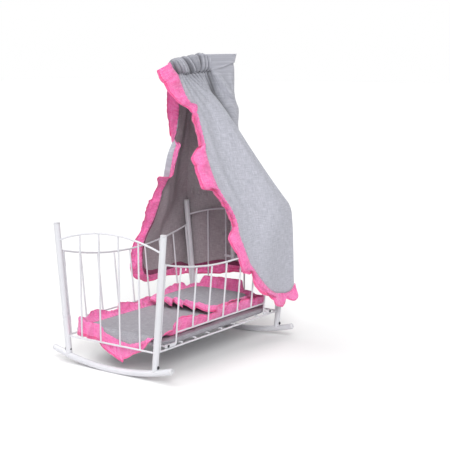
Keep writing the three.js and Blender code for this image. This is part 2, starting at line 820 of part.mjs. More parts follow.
// How far out of the middle a side panel's cloth hangs at a height
function clothY(across, height) {
  const climb = shoulderShare(across);
  const gatherHeight = armHeight(THREE.MathUtils.lerp(pleatClothFront, pleatEndX, across));
  const shoulderHeight = THREE.MathUtils.lerp(railShoulderHeight, postShoulderHeight, climb);
  const shoulderY = THREE.MathUtils.lerp(railShoulderY, postShoulderY, smoothStep(2 * across));
  const fall = (gatherHeight - height) / (gatherHeight - shoulderHeight);
  const soft = shoulderSoftShare;
  let share = Math.min(fall, 1);
  if (Math.abs(fall - 1) < soft) {
    share = fall - (fall - 1 + soft) ** 2 / (4 * soft);
  }
  return gatherHalf + (shoulderY - gatherHalf) * share;
}

// The fold from the arm to the top of the head post, and down from there
function foldPoint(down) {
  const start = vector(pleatEndX, 0, armHeight(pleatEndX));
  const shoulder = vector(shoulderCornerX, 0, postShoulderHeight);
  const hem = vector(shoulderCornerX, 0, sideHemRearHeight);
  return down < shoulderBendShare
    ? start.lerp(shoulder, down / shoulderBendShare)
    : shoulder.lerp(hem, (down - shoulderBendShare) / (1 - shoulderBendShare));
}

function freeEdge(shares) {
  const points = shares.map(([x, height]) => vector(x * postSpacing, 0, height * canopyHeight));
  points.push(vector(shoulderCornerX, 0, sideHemRearHeight));
  return new THREE.CatmullRomCurve3(points, false, 'centripetal');
}

function sidePanelPoint(edge, side, across, down) {
  const flat = patchPoint({
    left: (share) => edge.getPointAt(share * frontCornerShare),
    right: foldPoint,
    top: (share) => {
      const x = THREE.MathUtils.lerp(edge.getPointAt(0).x, pleatEndX, share);
      return vector(x, 0, THREE.MathUtils.lerp(edge.getPointAt(0).z, armHeight(pleatEndX), share));
    },
    bottom: (share) => edge.getPointAt(frontCornerShare + share * (1 - frontCornerShare)),
  }, across, down);
  return vector(flat.x, side * clothY(across, flat.z), flat.z);
}

function backMiddle(down) {
  const top = vector(rodX + rodRadius + gatherRearReach, 0, armRear.z);
  const shoulder = vector(backX, 0, postShoulderHeight);
  const hem = vector(backX, 0, backHemHeight);
  if (down > shoulderBendShare) {
    return shoulder.lerp(hem, (down - shoulderBendShare) / (1 - shoulderBendShare));
  }
  const share = down / shoulderBendShare;
  const point = top.lerp(shoulder, share);
  point.x += backBulge * Math.sin(Math.PI * share);
  return point;
}

function backPanelPoint(across, down) {
  const share = Math.sin(((1 - Math.abs(across)) * Math.PI) / 2);
  const corner = (drop) => {
    const flat = foldPoint(drop);
    return vector(flat.x, clothY(1, flat.z), flat.z);
  };
  const point = patchPoint({
    left: corner,
    right: backMiddle,
    top: (along) => {
      const x = THREE.MathUtils.lerp(pleatEndX, backMiddle(0).x, along);
      return vector(x, gatherHalf * Math.sqrt(1 - along ** gatherRoundPower), armHeight(x));
    },
    bottom: (along) => vector(
      THREE.MathUtils.lerp(shoulderCornerX, backX, along),
      THREE.MathUtils.lerp(corner(1).y, 0, along),
      THREE.MathUtils.lerp(sideHemRearHeight, backHemHeight, along),
    ),
  }, share, down);
  return vector(point.x, -Math.sign(across) * point.y, point.z);
}

const canopySides = [
  { name: 'right', sign: -1, edge: freeEdge(rightEdgeShares) },
  { name: 'left', sign: 1, edge: freeEdge(leftEdgeShares) },
];

for (const panel of canopySides) {
  addPiece(`canopy_${panel.name}`, sheetSolid(
    gridOf(sideClothColumns, clothRows, (across, down) => (
      sidePanelPoint(panel.edge, panel.sign, across, down)
    )),
    clothThickness,
  ), greyCloth);
}

// The back panel starts just inside the side panels' rear edges
const cornerHalfWidth = clothY(1, sideHemRearHeight);
const backPanelEnd = 1 - (clothThickness + clothSeam) / cornerHalfWidth;

addPiece('canopy_back', sheetSolid(
  gridOf(2 * backClothColumns + 1, clothRows, (share, down) => (
    backPanelPoint((2 * share - 1) * backPanelEnd, down)
  )),
  clothThickness,
), greyCloth);

// Heading: the cloth above the gathers, pleated towards the front and doubled round the rear

function headingPoint(along, rise) {
  const side = along < 0.5 ? -1 : 1;
  const share = along < 0.5 ? 2 * along : 2 - 2 * along;
  const bottomX = THREE.MathUtils.lerp(pleatClothFront, backMiddle(0).x, share);
  const lean = THREE.MathUtils.lerp(-headingFrontLean, headingRearLean, share);
  const tall = THREE.MathUtils.lerp(headingHeight, headingRearHeight, share);
  const pleat = Math.sin(2 * Math.PI * headingPleats * share) * headingPleatDepth * (1 - share);
  const round = Math.sqrt(1 - share ** headingRoundPower);
  const y = side * round * (gatherHalf + rise * (headingPleatDepth + pleat));
  const seamHeight = armHeight(bottomX) + clothSeam + clothThickness / 2;
  return vector(bottomX + lean * rise, y, seamHeight + tall * rise);
}

addPiece('canopy_heading', sheetSolid(
  gridOf(2 * headingColumns + 1, headingRows, headingPoint), clothThickness,
), greyCloth);

// Ruffles: a waved strip that carries on outwards from an edge of the cloth
function ruffleGrid(edgePoint, outwards, facing, length, topWidth, lead) {
  const waves = Math.round(length / canopyRufflePeriod);
  return gridOf(waves * ruffleStepsPerWave + 1, 2, (along, reach) => {
    const wave = 1 + Math.sin(2 * Math.PI * waves * along);
    const width = THREE.MathUtils.lerp(topWidth, canopyRuffleWidth, smoothStep(along / ruffleTopShare));
    return edgePoint(along).addScaledVector(outwards(along), lead + width * reach)
      .addScaledVector(facing(along), canopyRuffleWave * wave * reach);
  });
}

const sideSlope = (railShoulderY - gatherHalf) / (canopyHeight - railShoulderHeight);
const tangentStep = 0.01;

for (const panel of canopySides) {
  const panelLength = panel.edge.getLength();
  const headingShare = headingHeight / (headingHeight + panelLength);
  const headingFront = panel.sign < 0 ? 0 : 1;
  const onEdge = (along) => {
    if (along < headingShare) {
      return headingPoint(headingFront, 1 - along / headingShare);
    }
    const share = (along - headingShare) / (1 - headingShare);
    const across = Math.max(0, (share - frontCornerShare) / (1 - frontCornerShare));
    return sidePanelPoint(panel.edge, panel.sign, across, Math.min(1, share / frontCornerShare));
  };
  const facing = (along) => {
    const above = (onEdge(along).z - railShoulderHeight) / canopyRuffleWidth;
    return vector(0, panel.sign, sideSlope * smoothStep(above)).normalize();
  };
  const outwards = (along) => {
    const before = Math.max(0, along - tangentStep);
    const tangent = onEdge(Math.min(1, along + tangentStep)).sub(onEdge(before));
    const out = tangent.cross(facing(along)).multiplyScalar(-panel.sign).normalize();
    const back = vector(1, 0, -1).normalize();
    return out.lerp(back, smoothStep(1 - (1 - along) / ruffleFlareShare)).normalize();
  };
  addPiece(`ruffle_${panel.name}`, sheetSolid(
    ruffleGrid(
      onEdge, outwards, facing, headingHeight + panelLength, canopyRuffleTopWidth,
      clothSeam + clothThickness,
    ),
    ruffleThickness,
  ), pinkCloth);
}

const backRuffleEnd = 1 - (canopyRuffleWave + 2 * ruffleThickness) / cornerHalfWidth;

addPiece('ruffle_back', sheetSolid(
  ruffleGrid(
    (along) => backPanelPoint((2 * along - 1) * backRuffleEnd, 1),
    () => vector(0, 0, -1), () => vector(1, 0, 0), 2 * cornerHalfWidth, canopyRuffleWidth, gap,
  ),
  ruffleThickness,
), pinkCloth);

// Bedding: each cushion is a rounded outline with a crowned top and a flatter underside

function roundedReach(angle, halfLength, halfWidth, squareness) {
  const along = Math.abs(Math.cos(angle) / halfLength) ** squareness;
  const across = Math.abs(Math.sin(angle) / halfWidth) ** squareness;
  return (along + across) ** (-1 / squareness);
}

// An outline point, with the corners visited as often as the straight sides
function outlinePoint(share, halfLength, halfWidth, squareness) {
  const turn = 2 * Math.PI * share;
  const angle = Math.atan2(Math.sin(turn) * halfWidth, Math.cos(turn) * halfLength);
  const reach = roundedReach(angle, halfLength, halfWidth, squareness);
  return vector(reach * Math.cos(angle), reach * Math.sin(angle), 0);
}

function cushionSolid(halfLength, halfWidth, squareness, topRings, bottomRings, topHeight, bottomHeight) {
  const positions = [];
  const faces = [];
  const rings = [...topRings, 1, ...bottomRings.toReversed()];
  rings.forEach((reach, ring) => {
    for (let i = 0; i < cushionSegments; i += 1) {
      const point = outlinePoint(i / cushionSegments, halfLength, halfWidth, squareness).multiplyScalar(reach);
      const isTop = ring <= topRings.length;
      positions.push(point.x, point.y, isTop ? topHeight(reach) : bottomHeight(reach));
    }
  });
  const topMiddle = positions.length / 3;
  positions.push(0, 0, topHeight(0), 0, 0, bottomHeight(0));
  const index = (ring, i) => ring * cushionSegments + (i % cushionSegments);
  for (let i = 0; i < cushionSegments; i += 1) {
    faces.push(topMiddle, index(0, i), index(0, i + 1));
    faces.push(topMiddle + 1, index(rings.length - 1, i + 1), index(rings.length - 1, i));
    for (let ring = 0; ring < rings.length - 1; ring += 1) {
      faces.push(index(ring, i), index(ring + 1, i), index(ring + 1, i + 1));
      faces.push(index(ring, i), index(ring + 1, i + 1), index(ring, i + 1));
    }
  }
  const geometry = new THREE.BufferGeometry();
  geometry.setAttribute('position', new THREE.Float32BufferAttribute(positions, 3));
  geometry.setIndex(faces);
  geometry.computeVertexNormals();
  return geometry;
}

// A waved strip round a cushion's outline
function cushionRuffle(halfLength, halfWidth, squareness, waves, place) {
  const count = waves * ruffleStepsShort;
  const grid = Array.from({ length: count }, (_, i) => {
    const share = i / count;
    const inner = outlinePoint(share, halfLength, halfWidth, squareness);
    const next = outlinePoint(share + 1 / count, halfLength, halfWidth, squareness);
    const before = outlinePoint(share - 1 / count, halfLength, halfWidth, squareness);
    const tangent = next.sub(before).normalize();
    const out = vector(tangent.y, -tangent.x, 0);
    const wave = Math.sin(2 * Math.PI * waves * share);
    return [0, 1].map((reach) => place(inner.clone(), out, wave, reach));
  });
  return sheetSolid(grid, ruffleThickness, true);
}

const mattressBottom = baseWireHeight + baseWireRadius + gap;
const mattressTop = mattressBottom + mattressThickness;

addPiece('mattress', cushionSolid(
  mattressHalfLength, mattressHalfWidth, mattressSquareness, slabRings, slabRings,
  (reach) => mattressTop - (mattressThickness / 2) * reach ** slabEdgePower,
  (reach) => mattressBottom + (mattressThickness / 2) * reach ** slabEdgePower,
), greyCloth);

const duvetBottom = mattressTop + gap;
const duvetSeam = duvetBottom + duvetEdge;

const duvet = addPiece('duvet', cushionSolid(
  duvetHalfLength, duvetHalfWidth, duvetSquareness, duvetTopRings, duvetBottomRings,
  (reach) => duvetSeam + duvetCrown * (1 - reach ** crownPower),
  (reach) => duvetBottom + duvetEdge * reach ** slabEdgePower,
), greyCloth);
duvet.position.x = duvetCentreX;

const duvetRuffle = addPiece('duvet_ruffle', cushionRuffle(
  duvetHalfLength, duvetHalfWidth, duvetSquareness, duvetRuffleWaves,
  (inner, out, wave, reach) => {
    const endShare = Math.abs(out.x);
    const width = THREE.MathUtils.lerp(duvetRuffleReach, duvetRuffleEndReach, endShare ** 2);
    const fromDip = (inner.y - duvetFootDropOffset) / duvetFootDropWidth;
    const dip = inner.x < 0 ? endShare ** 4 * Math.exp(-(fromDip ** 2)) : 0;
    const rise = duvetRuffleRise * (1 - dip) - duvetFootDrop * dip + duvetRuffleWave * wave;
    const start = gap + ruffleThickness;
    const point = inner.addScaledVector(out, start + width * reach + duvetRuffleWave * dip * reach);
    point.z = duvetSeam + rise * reach;
    return point;
  },
), pinkCloth);
duvetRuffle.position.x = duvetCentreX;

const pillowBottom = duvetSeam + duvetCrown + gap;
const pillowSeam = pillowBottom + pillowLift;

const pillow = addPiece('pillow', cushionSolid(
  pillowHalfLength, pillowHalfWidth, pillowSquareness, pillowTopRings, pillowBottomRings,
  (reach) => pillowSeam + pillowCrown * (1 - reach ** 2) ** pillowCrownPower,
  (reach) => pillowBottom + pillowLift * reach ** crownPower,
), greyCloth);
pillow.position.x = pillowCentreX;

const pillowRuffle = addPiece('pillow_ruffle', cushionRuffle(
  pillowHalfLength, pillowHalfWidth, pillowSquareness, pillowRuffleWaves,
  (inner, out, wave, reach) => {
    const endReach = out.x < 0 ? pillowRuffleFootReach : pillowRuffleHeadReach;
    const endRise = out.x < 0 ? pillowRuffleFootRise : pillowRuffleHeadRise;
    const width = THREE.MathUtils.lerp(pillowRuffleReach, endReach, out.x ** 2);
    const rise = THREE.MathUtils.lerp(pillowRuffleRise, endRise, out.x ** 2);
    const start = gap + ruffleThickness;
    const point = inner.addScaledVector(out, start + width * reach);
    point.z = pillowSeam + (rise + pillowRuffleWave * wave) * reach;
    return point;
  },
), pinkCloth);
pillowRuffle.position.x = pillowCentreX;

// The origin is under the middle of the whole cradle
cradle.updateMatrixWorld(true);
const extent = new THREE.Box3().setFromObject(cradle, true);
cradle.position.x = -(extent.min.x + extent.max.x) / 2;
cradle.position.y = -(extent.min.y + extent.max.y) / 2;
cradle.updateMatrixWorld(true);

export default cradle;
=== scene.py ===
# %% [markdown]
# # A toy rocking cradle
# The cradle has a white wire frame on two curved runners, a mattress, a frilled quilt and
# pillow, and a cloth canopy that hangs from a bent rod. The frame's metal parts come ready from
# the drawing. Everything that is sewn is made here, and every surface gets its finish here.
# Lengths are written in millimetres from the middle of the four posts, as a tape would read
# them, and turned into Blender's metres when a mesh is made.

# %% Open the drawing
import json
import math

import bpy
import numpy as np
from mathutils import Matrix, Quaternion, Vector, noise


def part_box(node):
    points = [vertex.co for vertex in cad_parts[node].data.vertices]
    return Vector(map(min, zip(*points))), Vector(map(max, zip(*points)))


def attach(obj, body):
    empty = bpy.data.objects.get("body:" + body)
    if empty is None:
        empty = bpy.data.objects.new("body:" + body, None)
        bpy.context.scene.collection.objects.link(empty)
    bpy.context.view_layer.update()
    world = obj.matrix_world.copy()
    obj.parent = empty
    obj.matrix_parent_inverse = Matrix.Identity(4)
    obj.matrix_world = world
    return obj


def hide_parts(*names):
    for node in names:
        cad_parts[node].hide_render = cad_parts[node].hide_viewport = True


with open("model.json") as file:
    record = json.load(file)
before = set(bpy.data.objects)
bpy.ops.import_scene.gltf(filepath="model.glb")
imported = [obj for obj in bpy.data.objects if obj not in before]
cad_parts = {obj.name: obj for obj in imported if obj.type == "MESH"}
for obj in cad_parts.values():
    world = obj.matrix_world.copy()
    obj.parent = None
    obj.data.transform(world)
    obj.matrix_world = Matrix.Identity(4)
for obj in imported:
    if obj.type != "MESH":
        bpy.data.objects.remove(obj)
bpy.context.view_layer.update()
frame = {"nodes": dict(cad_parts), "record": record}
posts_middle = (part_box("foot_post_left")[0].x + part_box("head_post_left")[1].x) / 2

# %% [markdown]
# ## The camera
# The picture was taken a little above the cradle's rim, from the foot end's right. The place and
# the turn came from fitting a pinhole camera to the ends of posts, bars and runners. A long lens
# far away keeps the posts nearly parallel, so it is used here as it was found.

# %% Set up the camera
view_yaw, view_pitch, view_roll = math.radians(36.04), math.radians(8.98), math.radians(-0.21)
camera = bpy.data.objects.new("camera", bpy.data.cameras.new("camera"))
camera.data.sensor_width = 36
camera.data.lens = 85.2
looking = Vector((math.cos(view_yaw) * math.cos(view_pitch),
                  math.sin(view_yaw) * math.cos(view_pitch), -math.sin(view_pitch)))
camera.rotation_mode = "QUATERNION"
camera.rotation_quaternion = looking.to_track_quat("-Z", "Y") @ Quaternion((0, 0, 1), view_roll)
camera.location = (-1.711 + posts_middle, -1.370, 0.611)
bpy.context.scene.collection.objects.link(camera)
bpy.context.scene.camera = camera
print("the camera stands", round(camera.location.length, 2), "m away")

# %% [markdown]
# ## Light and floor
# The picture has studio light: a wide soft box above the camera, a pale ceiling, a little light
# from the left, and white walls that fill the shadows. Area lamps close by could give it, but they
# light near parts more than far ones. So three suns with very wide discs are used, which light
# everything alike, and a white world that is weak for all but the camera. Together they are at a
# level where a colour renders about as it is written. The floor is matt and nearly white, and adds
# a touch of glow to what the camera sees, so it is white in the open and soft grey under the cradle.

# %% Light the room
def far_lamp(name, strength, spread, towards):
    """A lamp so far off that it lights everything alike. towards points from the cradle to it."""
    lamp = bpy.data.objects.new(name, bpy.data.lights.new(name, "SUN"))
    lamp.data.energy = strength
    lamp.data.angle = math.radians(spread)
    lamp.rotation_euler = (-Vector(towards)).to_track_quat("-Z", "Y").to_euler()
    bpy.context.scene.collection.objects.link(lamp)


far_lamp("soft_box", 2.25, 30, (-0.62, -0.56, 0.55))
far_lamp("ceiling_panel", 1.5, 60, (-0.20, 0.22, 1.0))
far_lamp("side_window", 0.5, 50, (-0.20, 0.72, 0.66))


def camera_share(tree):
    """1 for what the camera sees, straight or in a reflection, and 0 for other light."""
    rays = tree.nodes.new("ShaderNodeLightPath")
    total = rays.outputs["Is Camera Ray"]
    for other in ("Is Glossy Ray", "Is Transmission Ray"):
        most = tree.nodes.new("ShaderNodeMath")
        most.operation = "MAXIMUM"
        tree.links.new(total, most.inputs[0])
        tree.links.new(rays.outputs[other], most.inputs[1])
        total = most.outputs[0]
    return total


room = bpy.data.worlds.new("white_room")
bpy.context.scene.world = room
room.use_nodes = True
tree = room.node_tree
tree.nodes.clear()
walls = tree.nodes.new("ShaderNodeBackground")
walls.inputs["Color"].default_value = (1, 1, 1, 1)
room_light = 0.24
shown = tree.nodes.new("ShaderNodeMapRange")
shown.inputs["To Min"].default_value = room_light
shown.inputs["To Max"].default_value = 1
tree.links.new(camera_share(tree), shown.inputs["Value"])
tree.links.new(shown.outputs["Result"], walls.inputs["Strength"])
tree.links.new(walls.outputs[0], tree.nodes.new("ShaderNodeOutputWorld").inputs["Surface"])
bpy.context.scene.view_settings.view_transform = "Standard"
print(len(bpy.data.lights), "far lamps, and a world that lights the cradle at", room_light)

# %% Lay the floor
floor_mesh = bpy.data.meshes.new("floor")
half = 20  # metres, far enough to reach past the picture
floor_corners = [(-half, -half, 0), (half, -half, 0), (half, half, 0), (-half, half, 0)]
floor_mesh.from_pydata(floor_corners, [], [(0, 1, 2, 3)])
floor = bpy.data.objects.new("floor", floor_mesh)
bpy.context.scene.collection.objects.link(floor)
floor_paint = bpy.data.materials.new("pale_floor")
floor_paint.use_nodes = True
tree = floor_paint.node_tree
tree.nodes.clear()
matt = tree.nodes.new("ShaderNodeBsdfDiffuse")
matt.inputs["Color"].default_value = (0.9, 0.9, 0.9, 1)
glow = tree.nodes.new("ShaderNodeEmission")
glow_level = tree.nodes.new("ShaderNodeMapRange")
glow_level.inputs["To Max"].default_value = 0.03
tree.links.new(camera_share(tree), glow_level.inputs["Value"])
tree.links.new(glow_level.outputs["Result"], glow.inputs["Strength"])
both = tree.nodes.new("ShaderNodeAddShader")
tree.links.new(matt.outputs[0], both.inputs[0])
tree.links.new(glow.outputs[0], both.inputs[1])
tree.links.new(both.outputs[0], tree.nodes.new("ShaderNodeOutputMaterial").inputs["Surface"])
floor_mesh.materials.append(floor_paint)
print("the floor measures", 2 * half, "m from side to side")

# %% [markdown]
# ## Finishes of the hard parts
# The tubes and wires are steel with white baked enamel. Enamel has a soft gloss and a very faint
# orange-peel ripple, and its white is never quite even. It could be built up as paint over metal,
# but no bare metal shows. So it is one plain shader with a clear coat, and noise that moves the
# colour and the roughness a little. The plugs in the tubes' ends are moulded plastic, flatter and
# with a fine spark-eroded grain. The screws are dark steel, worn a little unevenly. Every finish
# starts from the same few helpers, so that each cell says only what is special about it.

# %% Start a finish
def new_finish(name, colour, roughness, **sockets):
    """A material with its shader ready, and constants set straight on the shader."""
    finish = bpy.data.materials.new(name)
    finish.use_nodes = True
    shader = finish.node_tree.nodes["Principled BSDF"]
    shader.inputs["Base Color"].default_value = (*colour, 1)
    shader.inputs["Roughness"].default_value = roughness
    for socket, value in sockets.items():
        shader.inputs[socket.replace("_", " ")].default_value = value
    return finish, finish.node_tree, shader


def add_node(tree, kind, inputs=(), **settings):
    """A node whose inputs are given as numbers or as the outputs that feed them."""
    node = tree.nodes.new("ShaderNode" + kind)
    for setting, value in settings.items():
        setattr(node, setting, value)
    for socket, value in dict(inputs).items():
        if isinstance(value, bpy.types.NodeSocket):
            tree.links.new(value, node.inputs[socket])
        else:
            node.inputs[socket].default_value = value
    return node


# %% Steps that several finishes take
def arithmetic(tree, operation, *values):
    """The outcome of one step of arithmetic between numbers and outputs."""
    return add_node(tree, "Math", dict(enumerate(values)), operation=operation).outputs[0]


def ranged(tree, value, low, high, new_low=0, new_high=1):
    """Moves a value from one range to another, and holds it there."""
    ends = {"Value": value, "From Min": low, "From Max": high, "To Min": new_low, "To Max": new_high}
    return add_node(tree, "MapRange", ends).outputs["Result"]


def tinted(tree, factor, colour, tint):
    """A colour that turns to the tint as the factor goes from 0 to 1."""
    colours = {"Fac": factor, "Color1": colour, "Color2": (*tint, 1)}
    return add_node(tree, "MixRGB", colours).outputs["Color"]


def shades(tree, factor, dark, light):
    """Runs from the dark colour to the light one as the factor goes from 0 to 1."""
    ramp = add_node(tree, "ValToRGB", {"Fac": factor})
    ramp.color_ramp.elements[0].color = (*dark, 1)
    ramp.color_ramp.elements[1].color = (*light, 1)
    return ramp.outputs["Color"]


# %% White enamel
enamel, tree, shader = new_finish("white_enamel", (0.83, 0.83, 0.86), 0.3,
                                  Coat_Weight=0.35, Coat_Roughness=0.12)
place = add_node(tree, "TexCoord").outputs["Object"]
clouds = add_node(tree, "TexNoise", {"Vector": place, "Scale": 26, "Detail": 4}).outputs["Fac"]
whites = shades(tree, clouds, (0.60, 0.605, 0.645), (0.69, 0.69, 0.725))
tree.links.new(whites, shader.inputs["Base Color"])
tree.links.new(ranged(tree, clouds, 0, 1, 0.22, 0.38), shader.inputs["Roughness"])
peel = add_node(tree, "TexNoise", {"Vector": place, "Scale": 900, "Detail": 2}).outputs["Fac"]
ripple = add_node(tree, "Bump", {"Height": peel, "Strength": 0.12, "Distance": 0.0002})
tree.links.new(ripple.outputs[0], shader.inputs["Normal"])
print("mixed:", enamel.name)

# %% White plastic
plastic, tree, shader = new_finish("white_plastic", (0.8, 0.8, 0.82), 0.5)
place = add_node(tree, "TexCoord").outputs["Object"]
grain = add_node(tree, "TexNoise", {"Vector": place, "Scale": 2400, "Detail": 3}).outputs["Fac"]
whites = shades(tree, grain, (0.58, 0.58, 0.61), (0.67, 0.67, 0.695))
tree.links.new(whites, shader.inputs["Base Color"])
pitted = add_node(tree, "Bump", {"Height": grain, "Strength": 0.2, "Distance": 0.0001})
tree.links.new(pitted.outputs[0], shader.inputs["Normal"])
print("mixed:", plastic.name)

# %% Dark steel
dark_steel, tree, shader = new_finish("dark_steel", (0.05, 0.05, 0.06), 0.35, Metallic=0.85)
place = add_node(tree, "TexCoord").outputs["Object"]
wear = add_node(tree, "TexNoise", {"Vector": place, "Scale": 1800, "Detail": 2}).outputs["Fac"]
greys = shades(tree, wear, (0.03, 0.03, 0.035), (0.09, 0.09, 0.1))
tree.links.new(greys, shader.inputs["Base Color"])
tree.links.new(ranged(tree, wear, 0, 1, 0.25, 0.5), shader.inputs["Roughness"])
print("mixed:", dark_steel.name)

# %% Put the finishes on the hard parts
finish_of_slot = {"frame_paint": enamel, "cap_plastic": plastic, "screw_steel": dark_steel}
slot_of_node = {row["node"]: row["material_slot"] for row in frame["record"]["subparts"]}
for name, node in frame["nodes"].items():
    finish = finish_of_slot.get(slot_of_node[name])
    if finish:
        node.data.materials.clear()
        node.data.materials.append(finish)
print({slot: sum(1 for s in slot_of_node.values() if s == slot) for slot in finish_of_slot}, "hard parts")

# %% [markdown]
# ## Cloth
# All the cloth is plain weave: threads over and under each other, with a slub, a thicker bit of
# yarn, here and there. It comes in grey and pink, and in three darker copies that paint shade: a
# warmer grey for the canopy's inside, which also paints the ruffles' pink light there, a darker grey
# for the bedding, and a dark red for the edges that are turned in, which are pink. A photo of cloth
# could be mapped on it, but a weave made of nodes stays sharp at any size. Two wave textures make
# the threads, and two stretched noises make the slubs. They run along the sheet's own cutting
# pattern, in metres, so they keep their size, and the same pattern tells where a ruffle's hem is stitched.
# Cloth deep between two folds gets less light than a coarse mesh shows, so a number that is stored
# on its points darkens it there. The pink is thin, and light scatters inside it.

# %% Weave a cloth
hem_line = 0.0365  # how far from the gathered edge a ruffle's hem is stitched
thread_scale = 220  # of the wave texture, on a pattern in metres
slub_stretches = ((480, 40, 1), (40, 480, 1))  # one noise for each way of the threads


def weave(name, deep, pale, slub, sheen, hem=None):
    """A woven cloth: two shades of yarn, how far its slubs stand out, its sheen, and a hem's colour."""
    cloth, tree, shader = new_finish(name, pale, 0.92, Sheen_Weight=sheen, Sheen_Roughness=0.5)
    pattern = add_node(tree, "UVMap", uv_map="cut").outputs["UV"]
    height = None
    streaks = None
    for stretch in slub_stretches:
        along = add_node(tree, "Mapping", {"Vector": pattern, "Scale": stretch}).outputs[0]
        slubs = add_node(tree, "TexNoise", {"Vector": along, "Scale": 1.6, "Detail": 3}).outputs["Fac"]
        streaks = slubs if streaks is None else arithmetic(tree, "MULTIPLY", streaks, slubs)
    for direction in ("X", "Y"):
        wave = {"Vector": pattern, "Scale": thread_scale, "Distortion": 1.2, "Detail": 1}
        threads = add_node(tree, "TexWave", wave, bands_direction=direction).outputs["Fac"]
        height = threads if height is None else arithmetic(tree, "MAXIMUM", height, threads)
    colour = shades(tree, ranged(tree, streaks, 0.14, 0.38), deep, pale)
    if hem:
        from_seam = add_node(tree, "SeparateXYZ", {"Vector": pattern}).outputs["Y"]
        from_line = arithmetic(tree, "SUBTRACT", from_seam, hem_line)
        doubled = ranged(tree, from_line, 0, 0.0008, 0, 0.4)
        off_line = arithmetic(tree, "ABSOLUTE", from_line)
        stitches = ranged(tree, off_line, 0.0004, 0.0012, 0.7, 0)
        colour = tinted(tree, arithmetic(tree, "MAXIMUM", doubled, stitches), colour, hem)
    # Painted shade: where the points say the cloth lies deep between folds, its colour darkens towards a
    # quarter of its deep shade.
    crease_shade = add_node(tree, "Attribute", attribute_name="fold").outputs["Fac"]
    colour = tinted(tree, crease_shade, colour, tuple(0.25 * part for part in deep))
    tree.links.new(colour, shader.inputs["Base Color"])
    raised = arithmetic(tree, "MULTIPLY_ADD", streaks, slub, height)
    bump = add_node(tree, "Bump", {"Height": raised, "Strength": 0.35, "Distance": 0.0004})
    tree.links.new(bump.outputs[0], shader.inputs["Normal"])
    return cloth


grey_cloth = weave("grey_linen", (0.35, 0.355, 0.408), (0.525, 0.53, 0.592), 2.5, 0.15)
# The canopy's inside is the same grey cloth: this warmer, darker copy paints the shade inside the canopy and
# the ruffles' pink light there.
inside_shade_cloth = weave("grey_linen_painted_shade", (0.31, 0.275, 0.295), (0.46, 0.41, 0.435), 2.5, 0.1)
# The bedding is the same grey cloth: this darker copy paints the shade it lies in under the canopy and the
# ruffles.
bedding_shade_cloth = weave("grey_linen_bedding_shade", (0.26, 0.255, 0.285), (0.40, 0.39, 0.425), 2.5, 0.06)
pink_cloth = weave("pink_cotton", (0.84, 0.12, 0.34), (0.98, 0.30, 0.58), 1.5, 0.2, (0.76, 0.02, 0.14))
# The turned-up edges are pink cloth: this dark red copy paints the shade they lie in inside the canopy.
turned_edge_shade_cloth = weave("pink_turned_edge_shade", (0.2, 0.03, 0.09), (0.3, 0.06, 0.14), 1.0, 0.1)
inside_pink = pink_cloth.node_tree.nodes["Principled BSDF"].inputs
inside_pink["Subsurface Weight"].default_value = 0.6
inside_pink["Subsurface Radius"].default_value = (1.0, 0.5, 0.7)
inside_pink["Subsurface Scale"].default_value = 0.003
print("woven:", [cloth.name for cloth in (grey_cloth, inside_shade_cloth, bedding_shade_cloth, pink_cloth, turned_edge_shade_cloth)])

# %% [markdown]
# ## Sheets from numbers
# A sewn piece is one thin sheet, so a grid of columns and rows can follow it everywhere. A grid
# could be dragged into shape by hand, but the picture shows where each edge and fold runs. So small
# functions say where the grid's places lie, and NumPy works out all of them at once. Each sheet
# also keeps its flat cutting pattern as its UV map, which the weave follows, and a modifier gives
# it the cloth's thickness.

# %% Numbers that bend softly
def ease(value):
    """0 below 0, 1 above 1, and a soft S between."""
    held = np.clip(value, 0, 1)
    return held * held * (3 - 2 * held)


def mix(start, end, share):
    """From the start at a share of 0 to the end at a share of 1."""
    return start + (end - start) * share


def hump(value, centre, width):
    """1 at the centre, fading to nothing a couple of widths away."""
    return np.exp(-((value - centre) / width) ** 2)


def through(points, shares):
    """Places at shares of the length of a smooth line through the points."""
    points = np.asarray(points, float)
    knots = np.concatenate([[0], np.cumsum(np.linalg.norm(np.diff(points, axis=0), axis=1))])
    slopes = np.gradient(points, knots, axis=0)
    along = np.linspace(0, knots[-1], 60 * len(points))
    i = np.clip(np.searchsorted(knots, along, side="right") - 1, 0, len(knots) - 2)
    width = (knots[i + 1] - knots[i])[:, None]
    t = (along - knots[i])[:, None] / width
    line = ((2 * t ** 3 - 3 * t ** 2 + 1) * points[i] + (t ** 3 - 2 * t ** 2 + t) * width * slopes[i]
            + (3 * t ** 2 - 2 * t ** 3) * points[i + 1] + (t ** 3 - t ** 2) * width * slopes[i + 1])
    run = np.concatenate([[0], np.cumsum(np.linalg.norm(np.diff(line, axis=0), axis=1))])
    return np.stack([np.interp(shares * run[-1], run, line[:, k]) for k in range(points.shape[1])], -1)


# %% Sew a sheet
def normals_of(grid, is_loop=False):
    """The direction in which each point of a [column, row] grid faces."""
    if is_loop:
        across = np.roll(grid, -1, axis=0) - np.roll(grid, 1, axis=0)
    else:
        across = np.gradient(grid, axis=0)
    facing = np.cross(across, np.gradient(grid, axis=1))
    return facing / np.maximum(np.linalg.norm(facing, axis=2, keepdims=True), 1e-9)


